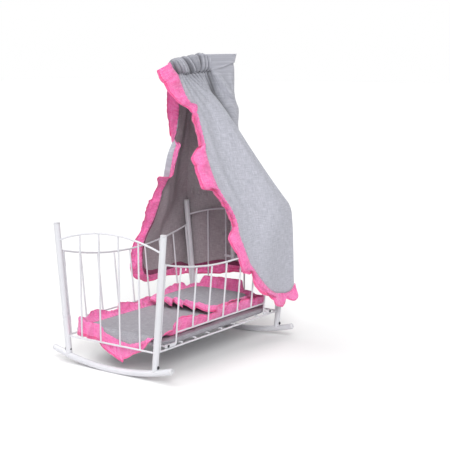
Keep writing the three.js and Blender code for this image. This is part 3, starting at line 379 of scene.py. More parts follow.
def sew(name, grid, cut, finishes, thickness, is_loop=False, crease_shade=None):
    """A sheet of cloth from a [column, row] grid of places and its cutting pattern, both in mm.

    The last argument is the shade painted into the colour at each place, from 0 to 1, darkest deep between
    two folds.
    """
    columns, rows = grid.shape[:2]
    places = grid.reshape(-1, 3) / 1000
    places[:, 0] += posts_middle
    faces, corners = [], []
    flat = cut.reshape(-1, 2) / 1000
    once_round = np.array([(cut[-1, 0, 0] + cut[1, 0, 0] - cut[0, 0, 0]) / 1000, 0])
    for i in range(columns if is_loop else columns - 1):
        here, ahead = i * rows, ((i + 1) % columns) * rows
        turn = once_round if ahead == 0 else 0
        for j in range(rows - 1):
            faces.append((here + j, ahead + j, ahead + j + 1, here + j + 1))
            corners += [flat[here + j], flat[ahead + j] + turn,
                        flat[ahead + j + 1] + turn, flat[here + j + 1]]
    mesh = bpy.data.meshes.new(name)
    mesh.from_pydata(places.tolist(), [], faces)
    layer = mesh.uv_layers.new(name="cut")
    layer.data.foreach_set("uv", np.asarray(corners, np.float32).ravel())
    # Painted shade: stored on the points as a number, by which the weave darkens the colour.
    if crease_shade is not None:
        mesh.attributes.new("fold", "FLOAT", "POINT").data.foreach_set("value", np.float32(crease_shade).ravel())
    mesh.polygons.foreach_set("use_smooth", [True] * len(faces))
    for finish in finishes:
        mesh.materials.append(finish)
    sheet = bpy.data.objects.new(name, mesh)
    bpy.context.scene.collection.objects.link(sheet)
    thick = sheet.modifiers.new("thickness", "SOLIDIFY")
    thick.thickness = thickness / 1000
    thick.offset = 0
    thick.material_offset = len(finishes) - 1
    thick.use_rim = True
    return sheet


# %% [markdown]
# ## The canopy
# The canopy is cut as one wide piece, gathered with stitches onto the rod's arm, and let fall over
# the side frames and behind the headboard. Above the stitches the rest of the cloth stands up as a
# heading. It could be draped by simulation, but the photographed folds would not come out where
# they are. So the sheet is built from its own lines: the free edges, the tight fold from the arm
# to each head post, and the hem. Between them it is filled in smoothly, and the folds are pressed in.

# %% The canopy's lines
# A fold's places are (along the cradle, how far out to the side, height), and an edge's leave out
# the middle one
post_fold = [
    (31, 6.5, 575), (62, 15, 553), (98, 29, 526), (131, 62, 464), (153, 83, 417), (180, 110, 361),
    (203, 132, 317), (214, 141, 298), (218, 144.5, 285), (219.5, 146.5, 262), (221, 148.5, 200),
    (222, 149.5, 121),
]
right_edge = [
    (2, 576), (6, 548), (10, 527), (20, 509), (27, 484), (25, 458), (20.5, 416), (21.5, 376),
    (27, 348), (35, 326), (48, 302), (55, 281), (53, 258), (54, 235), (61, 209), (69, 191),
    (84.5, 172), (104, 148), (122, 130), (150, 113.5), (178, 107), (200, 104.5), (213, 107),
    (219.5, 112), (222, 121),
]
left_edge = [
    (2, 576), (27, 548), (44, 522), (53, 505), (60, 485), (66, 463), (67, 447), (61, 431),
    (57, 412), (60, 388), (65, 358), (73, 330), (75, 308), (74, 280), (71, 258), (62, 235),
    (56, 214), (51, 188), (50, 163), (53, 148), (62, 136), (80, 129.5), (109, 127.5), (150, 130),
    (200, 130), (222, 121),
]
rail_turn, post_turn = (207.4, 138.8), (296, 146.5)  # height and side reach where the cloth turns down
turn_softness = 0.08  # share of the fall over which it turns
edge_corner = 0.66  # of a free edge's length, where it becomes the hem
stitch_height, stitch_half = 576, 6.5


def side_reach(across, height):
    """How far out the side cloth hangs: straight to the rail or the post's top, then plumb."""
    climb = ease((across - 0.3) / 0.56)
    turn_height = mix(rail_turn[0], post_turn[0], climb)
    turn_reach = mix(rail_turn[1], post_turn[1], ease(2 * across))
    fall = (stitch_height - height) / (stitch_height - turn_height)
    rounded = fall - (fall - 1 + turn_softness) ** 2 / (4 * turn_softness)
    share = np.where(np.abs(fall - 1) < turn_softness, rounded, np.minimum(fall, 1))
    return stitch_half + (turn_reach - stitch_half) * share


print("the near edge passes", len(right_edge), "places, and the far one", len(left_edge))

# %% [markdown]
# ### The sides
# Each side falls from the arm, slopes out to the side frame's top rail or the post's top, and hangs
# plumb below it. It could be bent over the rail as a flat panel, but its free edge would then leave
# the line that it has in the picture. So the side is filled in between its four edges as it looks
# from beside the cradle, and each place then gets its reach to the side from its height.

# %% The side cloth
def filled(left, right, top, bottom, across, down):
    """A patch that runs smoothly between four edges, given as rows of places at these shares."""
    u, v = across[:, None, None], down[None, :, None]
    patch = mix(left[None], right[None], u) + mix(top[:, None], bottom[:, None], v)
    corners = mix(mix(top[0], top[-1], u), mix(bottom[0], bottom[-1], u), v)
    return patch - corners


drop_rows, side_columns = 100, 90
down_share = np.linspace(0, 1, drop_rows) ** 1.3  # closer together near the stitches


def side_cloth(edge, curl):
    """The near or far side of the canopy, from its free edge to the fold at the post.

    curl is how far the free edge turns inwards half way down.
    """
    across = np.linspace(0, 1, side_columns)
    fold = through(post_fold, down_share)
    flat = filled(
        through(edge, down_share * edge_corner), fold[:, ::2],
        mix(np.array(edge[0], float), fold[0, ::2], across[:, None]),
        through(edge, edge_corner + across * (1 - edge_corner)), across, down_share,
    )
    a = np.repeat(across[:, None], drop_rows, axis=1)
    reach = side_reach(a, flat[..., 1])
    miss = fold[:, 1] - side_reach(1.0, fold[:, 2])
    reach = reach + miss[None] * a ** 6
    turned_in = np.interp(flat[..., 1], [322, 356, 376, 425, 440], [0, curl, curl, curl, 0])
    reach = reach - turned_in * np.clip(1 - a / 0.1, 0, 1) ** 1.6
    return np.stack([flat[..., 0], reach, flat[..., 1]], -1)


right_side, left_side = side_cloth(right_edge, 0), side_cloth(left_edge, 15)
print("each side has", side_columns, "columns of", drop_rows, "places")

# %% [markdown]
# ### The back
# Behind the two tight folds the cloth closes round the rod's end, slopes down to the posts' tops
# and falls straight behind the headboard. It is the same piece of cloth as the sides, so its first
# row of places is the fold itself. The cradle is the same on both sides and so is the back, and
# half of it is enough: the other half is its mirror image.

# %% The back cloth
half_back_columns = 180
back_x, hem_middle = 220.5, 143  # where the cloth hangs behind the headboard, and its hem's height
arm_end = (206.3, 598)  # the back of the stitched end, behind the rod
fold_start = 31  # along the arm, where the fold to the post begins
back_across = np.interp(np.linspace(0, 1, half_back_columns), [0, 0.78, 1], [0, 0.47, 1])
back_top_x = fold_start + (arm_end[0] - fold_start) * back_across


def closing_round(x):
    """1 along the arm, falling to 0 where the stitched ring closes behind the rod."""
    return np.sqrt(np.clip(1 - (x / arm_end[0]) ** 16, 0, 1))


def back_cloth():
    """Half of the back, from the post's fold to the middle."""
    across = back_across
    fold = through(post_fold, down_share)
    middle = through([
        (arm_end[0], 0, arm_end[1]), (206.3, 0, 560), (207, 0, 530), (213, 0, 511), (221, 0, 500),
        (222, 0, 487), (218, 0, 465), (219, 0, 430), (back_x, 0, 296), (back_x, 0, 220),
        (back_x + 1, 0, hem_middle),
    ], down_share)
    top_z = np.interp(back_top_x, [fold_start, 108, 155, 195, arm_end[0]], [575, 581, 587, 597, 598])
    top = np.stack([back_top_x, stitch_half * closing_round(back_top_x), top_z], -1)
    hem = np.stack([mix(fold[-1, 0], middle[-1, 0], across), mix(fold[-1, 1], 0, across),
                    mix(fold[-1, 2], middle[-1, 2], ease(across * 1.3))], -1)
    return filled(fold, middle, top, hem, across, down_share)


half_back = back_cloth()
mirror = np.array([1, -1, 1])
drape = np.concatenate([right_side * mirror, half_back[1:] * mirror,
                        half_back[::-1][1:-1], left_side[::-1]])
column_count = len(drape)
first_fold, last_fold = side_columns - 1, column_count - side_columns
print("the canopy's cloth has", column_count, "columns of", drop_rows)

# %% [markdown]
# ### Gathers, pleats and soft folds
# Where the stitches pull the cloth together it buckles into small folds that fade out a few
# fingers' width below. Larger folds run on: one beside the tight fold to each post, and wide soft
# waves down the sides. They could be painted as shading, but then they would look wrong from the
# other side. So each is a shallow ridge or valley that moves the sheet along the way it faces, and
# shade is painted into the weave's colour where the cloth lies deep between its neighbours.

# %% Where each column runs
stitch_x = drape[:, 0, 0]
down = down_share[None, :]
columns = np.arange(column_count)[:, None]
side_share = np.where(columns <= first_fold, columns / first_fold,
                      (column_count - 1 - columns) / (column_count - 1 - last_fold))
back_share = np.clip((columns - first_fold) / (last_fold - first_fold), 0, 1)
back_side = np.minimum(back_share, 1 - back_share) * 2  # 0 at a post's fold, 1 in the middle
fold_x, middle_x = drape[first_fold, :, 0], drape[column_count // 2, :, 0]
rearward = np.clip((drape[..., 0] - fold_x) / np.maximum(middle_x - fold_x, 1), 0, 1)
on_back = (columns > first_fold) & (columns < last_fold)


def track(positions, values):
    """A value that follows the way down."""
    return np.interp(down, positions, values)


print("the back begins after column", first_fold, "and ends before column", last_fold)

# %% Pleats and puckers below the stitches
pleat_starts = [2, 10, 17, 24, 31, 45, 56, 68, 79, 90, 101, 112, 215]
pleat_number = np.interp(stitch_x, pleat_starts, np.arange(len(pleat_starts)))[:, None]
gathered = np.interp(stitch_x, [2, 108, 120], [1, 1, 0])[:, None]  # 1 along the arm, 0 at the rear
pleat = np.abs(np.sin(math.pi * pleat_number)) ** 0.8
pleats = 6.5 * gathered * (pleat - 0.6) * np.exp(-down / 0.08)
pucker = np.abs(np.sin(math.pi * stitch_x / 5.2 + 0.5 * np.sin(stitch_x / 6)))[:, None] ** 0.7
puckers = gathered * (4.0 * (pucker - 0.6) * np.exp(-down / 0.014) - 1.2 * np.exp(-(down / 0.004) ** 2))
under_flap = -1.6 * (1 - gathered) * hump(down, 0.005, 0.012)
print("pleats and puckers rise by up to", round(float((pleats + puckers).max()), 1), "mm")

# %% Folds down the sides
hollow = track([0, 0.3, 0.5, 1], [0.9, 0.45, 0.55, 0.6])
side_folds = (
    2.5 * hump(side_share, 0.10 + 0.25 * down, 0.09) * ease(down / 0.1) * ease((0.8 - down) / 0.3)
    - 3.5 * hump(side_share, hollow, 0.13) * track([0, 0.1, 0.6, 0.9], [0, 1, 1, 0])
    + 3.0 * hump(side_share, 0.80 + 0.05 * down, 0.07) * ease((down - 0.2) / 0.2) * ease((0.8 - down) / 0.3)
    - 2.0 * hump(side_share, 0.25 + 0.20 * down, 0.07) * ease((down - 0.35) / 0.2)
    * ease((0.95 - down) / 0.2)
    + 1.6 * np.sin(side_share * 9 + 4 * down) * ease((down - 0.6) / 0.3)
)
print("the deepest fold down the sides is", round(-float(side_folds.min()), 1), "mm")

# %% Folds on the back
valley_depth = track([0, 0.03, 0.10, 0.2, 0.32, 0.42], [3, 9, 13, 11, 5, 0])
valley = track([0, 0.05, 0.12, 0.22, 0.37], [0.42, 0.40, 0.36, 0.36, 0.40])
second_ridge = track([0, 0.04, 0.12, 0.2, 0.24], [0.50, 0.53, 0.65, 0.90, 1.0])
back_folds = (
    -valley_depth * hump(rearward, valley, track([0, 0.05, 0.12, 0.3], [0.10, 0.14, 0.18, 0.25]))
    + 8.0 * hump(rearward, second_ridge, 0.08) * track([0, 0.03, 0.14, 0.2], [0.3, 1, 1, 0])
    + 2.0 * np.sin(back_side * 7 + 2) * ease((down - 0.62) / 0.2)
)
between_posts = hump(drape[..., 2], 305, 9) * ease(back_side / 0.25)
creases = between_posts * (3.4 + 3.0 * np.sin(back_share * 41) + 2.0 * np.sin(back_share * 97 + 1))
print("the valley beside the tight fold is up to", round(float(valley_depth.max())), "mm deep")

# %% Press the folds in
pressed = pleats + puckers + under_flap + np.where(on_back, back_folds - creases, side_folds)
pressed = pressed * np.where(on_back, 1, ease(side_share / 0.07))
# Painted shade: the cloth's colour darkens a little near the stitches, more between puckers and pleats, and
# in the valley beside the tight fold.
valley_bottom = track([0, 0.05, 0.12, 0.3], [0.05, 0.07, 0.11, 0.18])
shade_in_valley = valley_depth / 13 * hump(rearward, valley, valley_bottom) * on_back
shade_between_puckers = 0.85 * (1 - pucker) * np.exp(-down / 0.012)
shade_between_pleats = 0.8 * (1 - pleat) ** 1.4 * np.exp(-down / 0.09)
shade_at_stitches = 0.3 * np.exp(-(down / 0.004) ** 2)
drape_crease_shade = (0.1 * np.exp(-down / 0.1) + gathered * (shade_between_puckers + shade_between_pleats + shade_at_stitches)
               + 0.85 * shade_in_valley)
drape_facing = normals_of(drape)
if drape_facing[20, 50, 1] > 0:
    drape_facing = -drape_facing
drape = drape + drape_facing * pressed[..., None]
side_sign = np.where(np.arange(column_count) < column_count / 2, -1, 1)[:, None]
rod_clearance = 4.8  # from the middle plane to the cloth beside the rod
over_arm = on_back & (back_side < 0.8) & (drape[..., 2] > 500)
least = np.where(over_arm, rod_clearance, -1e3)
drape[..., 1] = side_sign * np.maximum(side_sign * drape[..., 1], least)


# %% Round the tight folds
def soften(grid, amount, times):
    """Evens a grid out along its columns where the amount says, a little each time."""
    for _ in range(times):
        middle = (grid[:-2] + grid[2:]) / 2
        grid = grid.copy()
        grid[1:-1] += (middle - grid[1:-1]) * amount[1:-1]
    return grid


near_fold = np.minimum(np.abs(columns - first_fold), np.abs(columns - last_fold))
amount = np.exp(-(near_fold / 7.0) ** 2) * mix(0.05, 0.9, ease((down - 0.35) / 0.25))
drape = soften(drape, amount[..., None], 14)
print("the folds move the cloth by up to", round(float(np.abs(pressed).max()), 1), "mm")

# %% [markdown]
# ### The heading
# Above the stitches the cloth stands up by itself. At the front it is pulled into fat tucks that
# fan out, and at the rear it is flat and stiff, with a square end. It could be a second piece set
# on top, but a seam would show. So the rows of the same sheet go on upwards: each column leans
# towards its place in the top edge, and swells between two tucks, with finer folds on the swells.

# %% Raise the heading
heading_rows = 30
tuck_starts = [2, 51, 64, 72, 88, 96, 111]  # along the stitches
tuck_tops = [-14, 24, 37, 75, 89, 99, 108]  # where the same tucks end in the top edge
tuck_sizes = [13, 11, 12, 11, 8, 12]
top_edge = ([-14, -8, 10, 29, 60, 73, 79, 90, 103, 217],
            [601, 606, 609.5, 612, 615.5, 616, 619, 619, 616, 617])
heading_x = np.interp(stitch_x, tuck_starts + [arm_end[0]], tuck_tops + [top_edge[0][-1]])
heading_z = np.interp(heading_x, *top_edge)
tuck = np.interp(stitch_x, tuck_starts, np.arange(len(tuck_starts)))
tucked = tuck < len(tuck_sizes)
swell = np.abs(np.sin(math.pi * tuck)) ** 0.6
swell_size = np.interp(tuck, np.arange(len(tuck_sizes)) + 0.5, tuck_sizes) * tucked
fine = np.abs(np.sin(math.pi * stitch_x / 7.5 + 0.9 * np.sin(stitch_x / 11))) ** 0.8
front_end = np.clip((stitch_x - 2) / 9, 0, 1)
heading, heading_crease_shade = [], []
for rise in np.linspace(1, 0, heading_rows)[:-1]:
    x = mix(stitch_x, heading_x, rise ** 0.8)
    z = mix(drape[:, 0, 2], heading_z - 2.5 * (1 - swell) * tucked, rise)
    body = math.sin(math.pi * (0.08 + 0.8 * rise)) ** 0.8
    seated = ease(rise / 0.2)
    half = mix(stitch_half, 3.5, ease(rise * 1.15)) * mix(1, mix(0.08, 1, swell), seated * tucked)
    half = half + swell * swell_size * body * seated + 1.6 * ~tucked * hump(rise, 0.06, 0.06)
    near_stitches = math.exp(-rise / 0.15)
    half = half + 3.0 * gathered[:, 0] * (pucker[:, 0] - 0.6) * near_stitches * ease(rise / 0.06)
    half = half + 3.2 * (fine - 0.7) * body * seated * tucked * (1 - 0.5 * rise)
    half = half * mix(1, np.sqrt(1 - (1 - front_end) ** 2), seated)
    half = mix(np.abs(drape[:, 0, 1]) / np.maximum(closing_round(stitch_x), 1e-3), half, ease(rise / 0.08))
    half = half * math.sqrt(max(0.01, 1 - max(0, (rise - 0.86) / 0.14) ** 2))  # the top edge closes
    # Painted shade: the cloth's colour darkens between the tucks, between the finer folds and between the
    # puckers at the stitches.
    shade_between_tucks = tucked * (1 - swell) ** 0.7 * (1 - 0.4 * rise)
    shade_between_fine = 0.5 * (1 - fine) * body * tucked
    shade_of_puckers = 0.8 * gathered[:, 0] * (1 - pucker[:, 0]) * near_stitches
    heading_crease_shade.append(0.08 + shade_between_tucks + shade_between_fine + shade_of_puckers)
    bulge = 4 * (1 - front_end) * math.sin(math.pi * rise)
    heading.append(np.stack([x - bulge, side_sign[:, 0] * half * closing_round(stitch_x), z], -1))
canopy_grid = np.concatenate([np.stack(heading, axis=1), drape], axis=1)
print("the heading has", len(tuck_sizes), "tucks and stands up to", max(top_edge[1]), "mm high")

# %% [markdown]
# ### Hanging it up
# The finished grid becomes one mesh. The real cloth is one layer too, and its inside looks warmer
# and darker because little light gets there and the ruffles tint it. A second sheet could be the
# inside, but two sheets this close would cut through each other in the folds. So the modifier that
# gives the sheet its thickness also gives the inside a darker, warmer copy of the grey cloth, which
# paints that shade and the ruffles' pink light.

# %% Cut and hang the canopy
pattern = np.where(side_share <= 1, canopy_grid[..., 0], canopy_grid[..., 1])
canopy_cut = np.stack([pattern, canopy_grid[..., 2]], -1)
# How much shade is painted into each place's colour, from 0 to 1.
canopy_crease_shade = np.clip(np.concatenate([np.stack(heading_crease_shade, axis=1), drape_crease_shade], axis=1), 0, 1)
# The inside face gets the darker, warmer copy, which paints the shade and pink light inside the canopy.
canopy = sew("canopy", canopy_grid, canopy_cut, [grey_cloth, inside_shade_cloth], 1.0, crease_shade=canopy_crease_shade)
if canopy.data.polygons[40].normal.y > 0:
    canopy.data.flip_normals()
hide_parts("canopy_left", "canopy_right", "canopy_back", "canopy_heading")
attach(canopy, "canopy")

# %% [markdown]
# ## Ruffles
# A ruffle is a strip of cloth, half as long again as the seam it is sewn to and hemmed on its
# other edge. The extra length makes small gathers at the seam, and the free edge falls over into
# flaps and folds where the cloth lies. Simulated ruffles come out even all along, and these
# aren't. So each strip follows keys. A key says how far its hem lies along the seam, out from it
# and towards the outside, how high the strip rises before it falls over, and how much of it is
# folded under there, or lapped back over the seam where that number is below 0. Noise with sharp
# ridges then crumples the cloth as handling does.

# %% Read the keys
ruffle_width, ruffle_rows, column_pitch = 42, 18, 1.7
gather_pitch = 9.5


def at_keys(keys, distance):
    """The keys' values at distances along the seam, with their corners a little rounded."""
    keys = np.array(keys, float)
    around = distance[:, None] + np.linspace(-2.5, 2.5, 7)
    return [np.interp(around, keys[:, 0], keys[:, k]).mean(axis=1) for k in range(1, keys.shape[1])]


def crumpled(distance, v, place):
    """Sharp ridges and wide dents left by handling, from about -1 to 1. place picks the pattern."""
    total = 0
    for size, share in ((26, 0.75), (11, 0.4)):
        ridges = [[1 - 4.2 * abs(noise.noise((d / size, w * ruffle_width / size * 0.8, place))) for w in v]
                  for d in distance]
        total = total + share * np.array(ridges)
    return np.clip(total, -1.2, 1.2)


# %% Follow a seam
def one_way(*way):
    """For a seam whose places all face the same way."""
    return lambda places: np.tile(np.array(way, float), (len(places), 1))


def unit(ways):
    """The same ways, each one long."""
    return ways / np.linalg.norm(ways, axis=1, keepdims=True)


def along_seam(seam, shares, facing, away, is_loop):
    """Places at shares of the seam, and at each of them the ways ahead, outward and off the cloth."""
    if is_loop:
        seam = np.concatenate([seam, seam[:1]])
    run = np.concatenate([[0], np.cumsum(np.linalg.norm(np.diff(seam, axis=0), axis=1))])
    places = np.stack([np.interp(shares * run[-1], run, seam[:, k]) for k in range(3)], -1)
    around = np.pad(places, ((6, 6), (0, 0)), mode="wrap" if is_loop else "edge")
    even = sum(around[k:k + len(shares)] for k in range(13)) / 13
    if is_loop:
        ahead = np.gradient(np.concatenate([even[-1:], even, even[:1]]), axis=0)[1:-1]
    else:
        ahead = np.gradient(even, axis=0)
    ahead, off_cloth = unit(ahead), unit(facing(places))
    outward = unit(np.cross(ahead, off_cloth))
    if ((places - away) * outward).sum() < 0:
        outward = -outward
    return places, (ahead, outward, off_cloth)


# %% Bend a strip
def strip_path(along, out, face, rise, under, belly, v):
    """How far the strip lies ahead, outward and off the cloth at v, from its seam to its hem."""
    lapped, under = np.minimum(under, 0), np.maximum(under, 0)
    flat = [(0 * along, 0 * out, 0 * face), (0.3 * along, (0.38 + belly) * out + 14 * lapped, rise),
            (0.66 * along, (0.72 + belly) * out + 8 * lapped, 0.6 * face + 0.8 * rise), (along, out, face)]
    folded = [flat[0], (0.5 * along, 0.62 * out, rise),
              (along, 0.45 * out, face - 5), (along, out, 0.6 * face)]
    # A cubic passes through all four places: how much each of them counts at v
    bends = [-4.5 * (v - 1 / 3) * (v - 2 / 3) * (v - 1), 13.5 * v * (v - 2 / 3) * (v - 1),
             -13.5 * v * (v - 1 / 3) * (v - 1), 4.5 * v * (v - 1 / 3) * (v - 2 / 3)]
    return [sum(mix(flat[k][m], folded[k][m], under)[:, None] * bends[k] for k in range(4))
            for m in range(3)]


# %% Sew a ruffle
def frill(name, seam, facing, away, keys, start=0.0, is_loop=False, crumple=1.5, belly=0.0):
    """A ruffle along a seam: the piece, its seam's length in metres and its area.

    facing tells what each place of the seam faces, and away is a point on the other side of the
    seam than the ruffle. start is the keys' distance at the seam's first place. belly is the share
    of its reach that a standing ruffle gains low down, before it rises.
    """
    length = np.linalg.norm(np.diff(seam, axis=0), axis=1).sum()
    shares = np.linspace(0, 1, int(length / column_pitch), endpoint=not is_loop)
    distance = start + shares * length
    places, ways = along_seam(seam, shares, facing, away, is_loop)
    v = np.linspace(0, 1, ruffle_rows)[None, :]
    parts = strip_path(*at_keys(keys, distance), belly, v)
    grid = places[:, None] + sum(part[..., None] * way[:, None] for part, way in zip(parts, ways))
    turns = (2 * math.pi * distance / gather_pitch
             + 1.6 * np.sin(distance / 23) + 1.1 * np.sin(distance / 9.7 + 2))
    gathers = np.sin(turns)[:, None] * 1.2 * np.exp(-v / 0.2) * ease(v / 0.12)
    waves = np.sin(turns / 3.7 + 0.7)[:, None] * 0.8 * v
    if is_loop:
        ends = ease(distance / 8) * ease((length - distance) / 8)
    else:
        ends = ease(distance - start) * ease((length - distance + start) / 8)
    ridges = crumpled(distance, v[0], len(name)) * ends[:, None]
    ripples = gathers + waves + crumple * ridges * ease((v - 0.12) / 0.4)
    grid = grid + normals_of(grid, is_loop) * ripples[..., None]
    cut = np.stack(np.broadcast_arrays(distance[:, None] * 1.5, v * ruffle_width), -1)
    # Painted shade: the colour darkens in the gathers' hollows near the seam and in the crumples' dents.
    crease_shade = np.clip(-np.sin(turns) - 0.2, 0, 1)[:, None] * 0.5 * np.exp(-v / 0.15)
    crease_shade = np.clip(crease_shade + 0.22 * np.clip(-ridges, 0, 1) * ease(v / 0.35), 0, 1)
    ruffle = sew(name, grid, cut, [pink_cloth], 0.7, is_loop, crease_shade)
    area = sum(side.area for side in ruffle.data.polygons)
    return ruffle, length / 1000, area


# %% The seams and keys of the canopy's ruffles
hem_row = canopy_grid.shape[1] - 1
seam_rows = range(heading_rows - 1, hem_row)
right_seam = np.array([(-13, 0, 600), (-8, -3, 587)] + [canopy_grid[0, j] for j in seam_rows]
                      + [canopy_grid[i, hem_row] for i in range(first_fold + 1)])
left_seam = np.array([(-13, 1, 600), (-8, 4, 587)] + [canopy_grid[-1, j] for j in seam_rows]
                     + [canopy_grid[i, hem_row] for i in range(column_count - 1, last_fold - 1, -1)])
back_seam = canopy_grid[first_fold:last_fold + 1, hem_row]
heading_run = 27  # along the heading's front edge, before the stitches

# A key is (distance, along, out, face, rise, under)
right_keys = [
    (-27, -1, 42, -8, 2, 0), (-14, -6, 45, -9, 3, 0), (0, -5, 44, -9, 4, 0), (15, 5, 43, -9, 5, 0),
    (28, 6, 39, -9, 2, 0), (42, 2, 31, -9, 3, 0), (55, -4, 23, -9, 5, 0.1), (66, -7, 18, -8, 5, 0),
    (72, -7, 15, -6, 6, -0.5), (78, -7, 13, -4, 7, -0.9), (84, -6, 10, -4, 6, -0.7),
    (91, -5, 7, -5, 4, 0.2), (98, -4, 8, -5, 3, 1),
    (110, -2, 11, -5, 2, 1), (130, -1, 9, -5, 2, 1), (150, -1, 7, -5, 2, 1), (163, -1, 7, -5, 3, 1),
    (166, -6, 15, -4, 5, 0.5), (171, 3, 32, -8, 5, 0), (177, 5, 43, -8, 3, 0), (190, 4, 43, -8, 3, 0),
    (207, -10, 40, -8, 4, 0), (225, -15, 41, -8, 4, 0), (237, -13, 41, -8, 4, 0), (248, -9, 43, -8, 3, 0),
    (251, -3, 17, -6, 2, 0.6), (254, -2, 13, -5, 2, 1), (262, 0, 11, -4, 2, 1), (285, 0, 7, -4, 2, 1),
    (310, -2, 9, -4, 2, 1), (330, 2, 12, -4, 2, 1), (343, -1, 12, -4, 4, 0.8), (350, 0, 20, -5, 5, 0.3),
    (360, 0, 34, -6, 4, 0), (372, 2, 33, -6, 4, 0), (388, 4, 24, -6, 5, 0.1), (400, 8, 26, -5, 4, 0.1),
    (412, 11, 26, -5, 4, 0.1), (424, 8, 26, -4, 5, 0.2), (432, 2, 21, -3, 7, 0.4), (440, 6, 14, -2, 5, 0.6),
    (446, 0, 11, -2, 3, 0.8), (458, 1, 18, -1, 3, 0.7), (475, -2, 24, 0, 3, 0.4), (495, -6, 23, 0, 3, 0.4),
    (510, -7, 19, 0, 3, 0.5), (530, -6, 15, 0, 4, 0.7), (543, -3, 16, 1, 4, 0.7), (548, -8, 24, 3, 3, 0.2),
    (556, -4, 29, 3, 2, 0), (570, 7, 31, 3, 3, 0), (578, 3, 22, 2, 5, 0.2), (584, -2, 12, 3, 5, 0.6),
    (588, -4, 13, 4, 4, 0.5), (596, -4, 20, 7, 4, 0.1), (602, -4, 26, 8, 3, 0), (607, -2, 27, 8, 3, 0),
    (611, -3, 19, 6, 3, 0.2), (614, -1, 5, 4, 2, 0.6), (616, 6, 2, 2, 2, 0.8),
]
left_keys = [
    (-27, 4, 6, -3, 3, 0), (0, 0, 12, -3, 3, 0.1), (30, 2, 14, -2, 3, 0.3), (52, 0, 12, 0, 4, 0.3),
    (60, -6, 5, 11, 6, 0.1), (70, -23, 16, 12, 7, 0), (85, -26, 21, 13, 7, 0), (100, -15, 22, 14, 7, 0),
    (115, -8, 19, 14, 7, 0), (130, 5, 13, 14, 7, 0), (145, 19, 1, 13, 6, 0), (157, 23, 1, 2, 5, 0),
    (163, 16, -4, -2, 3, 0), (170, 2, -4, -6, -3, 0), (178, -4, -3, -9, -6, 0), (210, -4, -2, -9, -6, 0),
    (230, -3, 0, -9, -6, 0), (250, -3, 1, -9, -5, 0), (260, -8, 3, -8, -4, 0), (268, -14, 6, -5, 0, 0),
    (273, -30, 34, 5, 3, 0), (285, -30, 34, 5, 3, 0), (298, -12, 21, 5, 4, 0), (310, -7, 20, 5, 4, 0),
    (325, -1, 20, 5, 5, 0), (328, -4, 32, 5, 3, 0), (345, -9, 32, 5, 3, 0), (365, -5, 32, 5, 3, 0),
    (385, 2, 25, 5, 4, 0), (400, 6, 14, 5, 5, 0), (404, 12, 19, 5, 4, 0), (408, 15, 27, 5, 3, 0),
    (430, 13, 26, 6, 4, 0), (455, 13, 31, 6, 3, 0), (480, 1, 32, 8, 3, 0), (500, -18, 23, 8, 3, 0.1),
    (515, -16, 13, 8, 4, 0.2), (532, -8, 17, 8, 3, 0.1), (550, -2, 18, 8, 3, 0.1), (570, -2, 17, 8, 3, 0.1),
    (595, 1, 17, 9, 3, 0.1), (630, 6, 24, 4, 3, 0.1), (655, 8, 16, 4, 3, 0.3), (664, 8, 12, 4, 3, 0.5),
]
back_keys = [
    (0, 3, 22, 2, 3, 0.2), (40, 0, 22, 2, 3, 0.2), (80, 3, 18, 1, 4, 0.3), (120, 4, 12, 1, 4, 0.7),
    (135, 8, 13, 1, 3, 0.6), (150, 5, 14, 1, 3, 0.5), (165, 3, 16, 1, 3, 0.4), (200, 9, 24, 1, 3, 0.1),
    (230, 13, 19, 1, 3, 0.2), (262, 15, 13, 1, 3, 0.5), (276, 18, 14, 1, 3, 0.5), (282, 18, 15, 1, 3, 0.4),
    (285, 16, 9, 1, 3, 0.7), (304, 0, 14, 1, 3, 0.5),
]
print(len(right_keys), "keys on the near side,", len(left_keys), "on the far one,", len(back_keys), "behind")

# %% The canopy's ruffles
def side_facing(side):
    """For a seam on one side: it faces out, and a little up where the cloth slopes."""
    def facing(places):
        slope = 0.365 * ease((places[:, 2] - 207) / 28)
        return np.stack([0 * slope, side + 0 * slope, slope], -1)
    return facing


def tell(name, length, area):
    """Prints a ruffle's seam, its area as folded and the area of its strip."""
    print(name, "is sewn to", round(length, 3), "m of seam, area", round(area, 4),
          "of", round(1.5 * length * ruffle_width / 1000, 4))


for name, seam, facing, keys, start in (
    ("ruffle_right", right_seam, side_facing(-1), right_keys, -heading_run),
    ("ruffle_left", left_seam, side_facing(1), left_keys, -heading_run),
    ("ruffle_back", back_seam, one_way(1, 0, 0), back_keys, 0),
):
    away = np.array([150, seam[:, 1].mean() / 2, 300])
    ruffle, length, area = frill(name + "_cloth", seam, facing, away, keys, start)
    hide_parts(name)
    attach(ruffle, "canopy")
    tell(name, length, area)

# %% [markdown]
# ### The seam allowance
# Inside the canopy the raw edges of cloth and ruffle are turned up and sewn flat, which shows as a
# narrow dark band along the hem and the far side. It could be a stripe in the inside's colour, but
# a real edge casts a little shadow. So it is a strip that lies on the inside of the cloth, a little
# more than its own thickness away from it, and follows the sheet's last rows and columns. Its dark
# red is painted shade: the turned-up edge is the ruffle's pink, lying in the shade inside the canopy.

# %% Turn up the seam
allowance, tape_rows, clearance = 10, 5, 0.9  # its width, rows across it, and its way off the cloth
inside_facing = -normals_of(canopy_grid)
if inside_facing[20, 80, 1] < 0:
    inside_facing = -inside_facing


def from_edge(lines, facing, width):
    """Rows at even distances from each line's start, lifted off the cloth."""
    steps = np.linspace(0, width, tape_rows)
    rows = []
    for line, lift in zip(lines, facing):
        run = np.concatenate([[0], np.cumsum(np.linalg.norm(np.diff(line, axis=0), axis=1))])
        rows.append([[np.interp(step, run, (line + clearance * lift)[:, k]) for k in range(3)]
                     for step in steps])
    return np.array(rows)


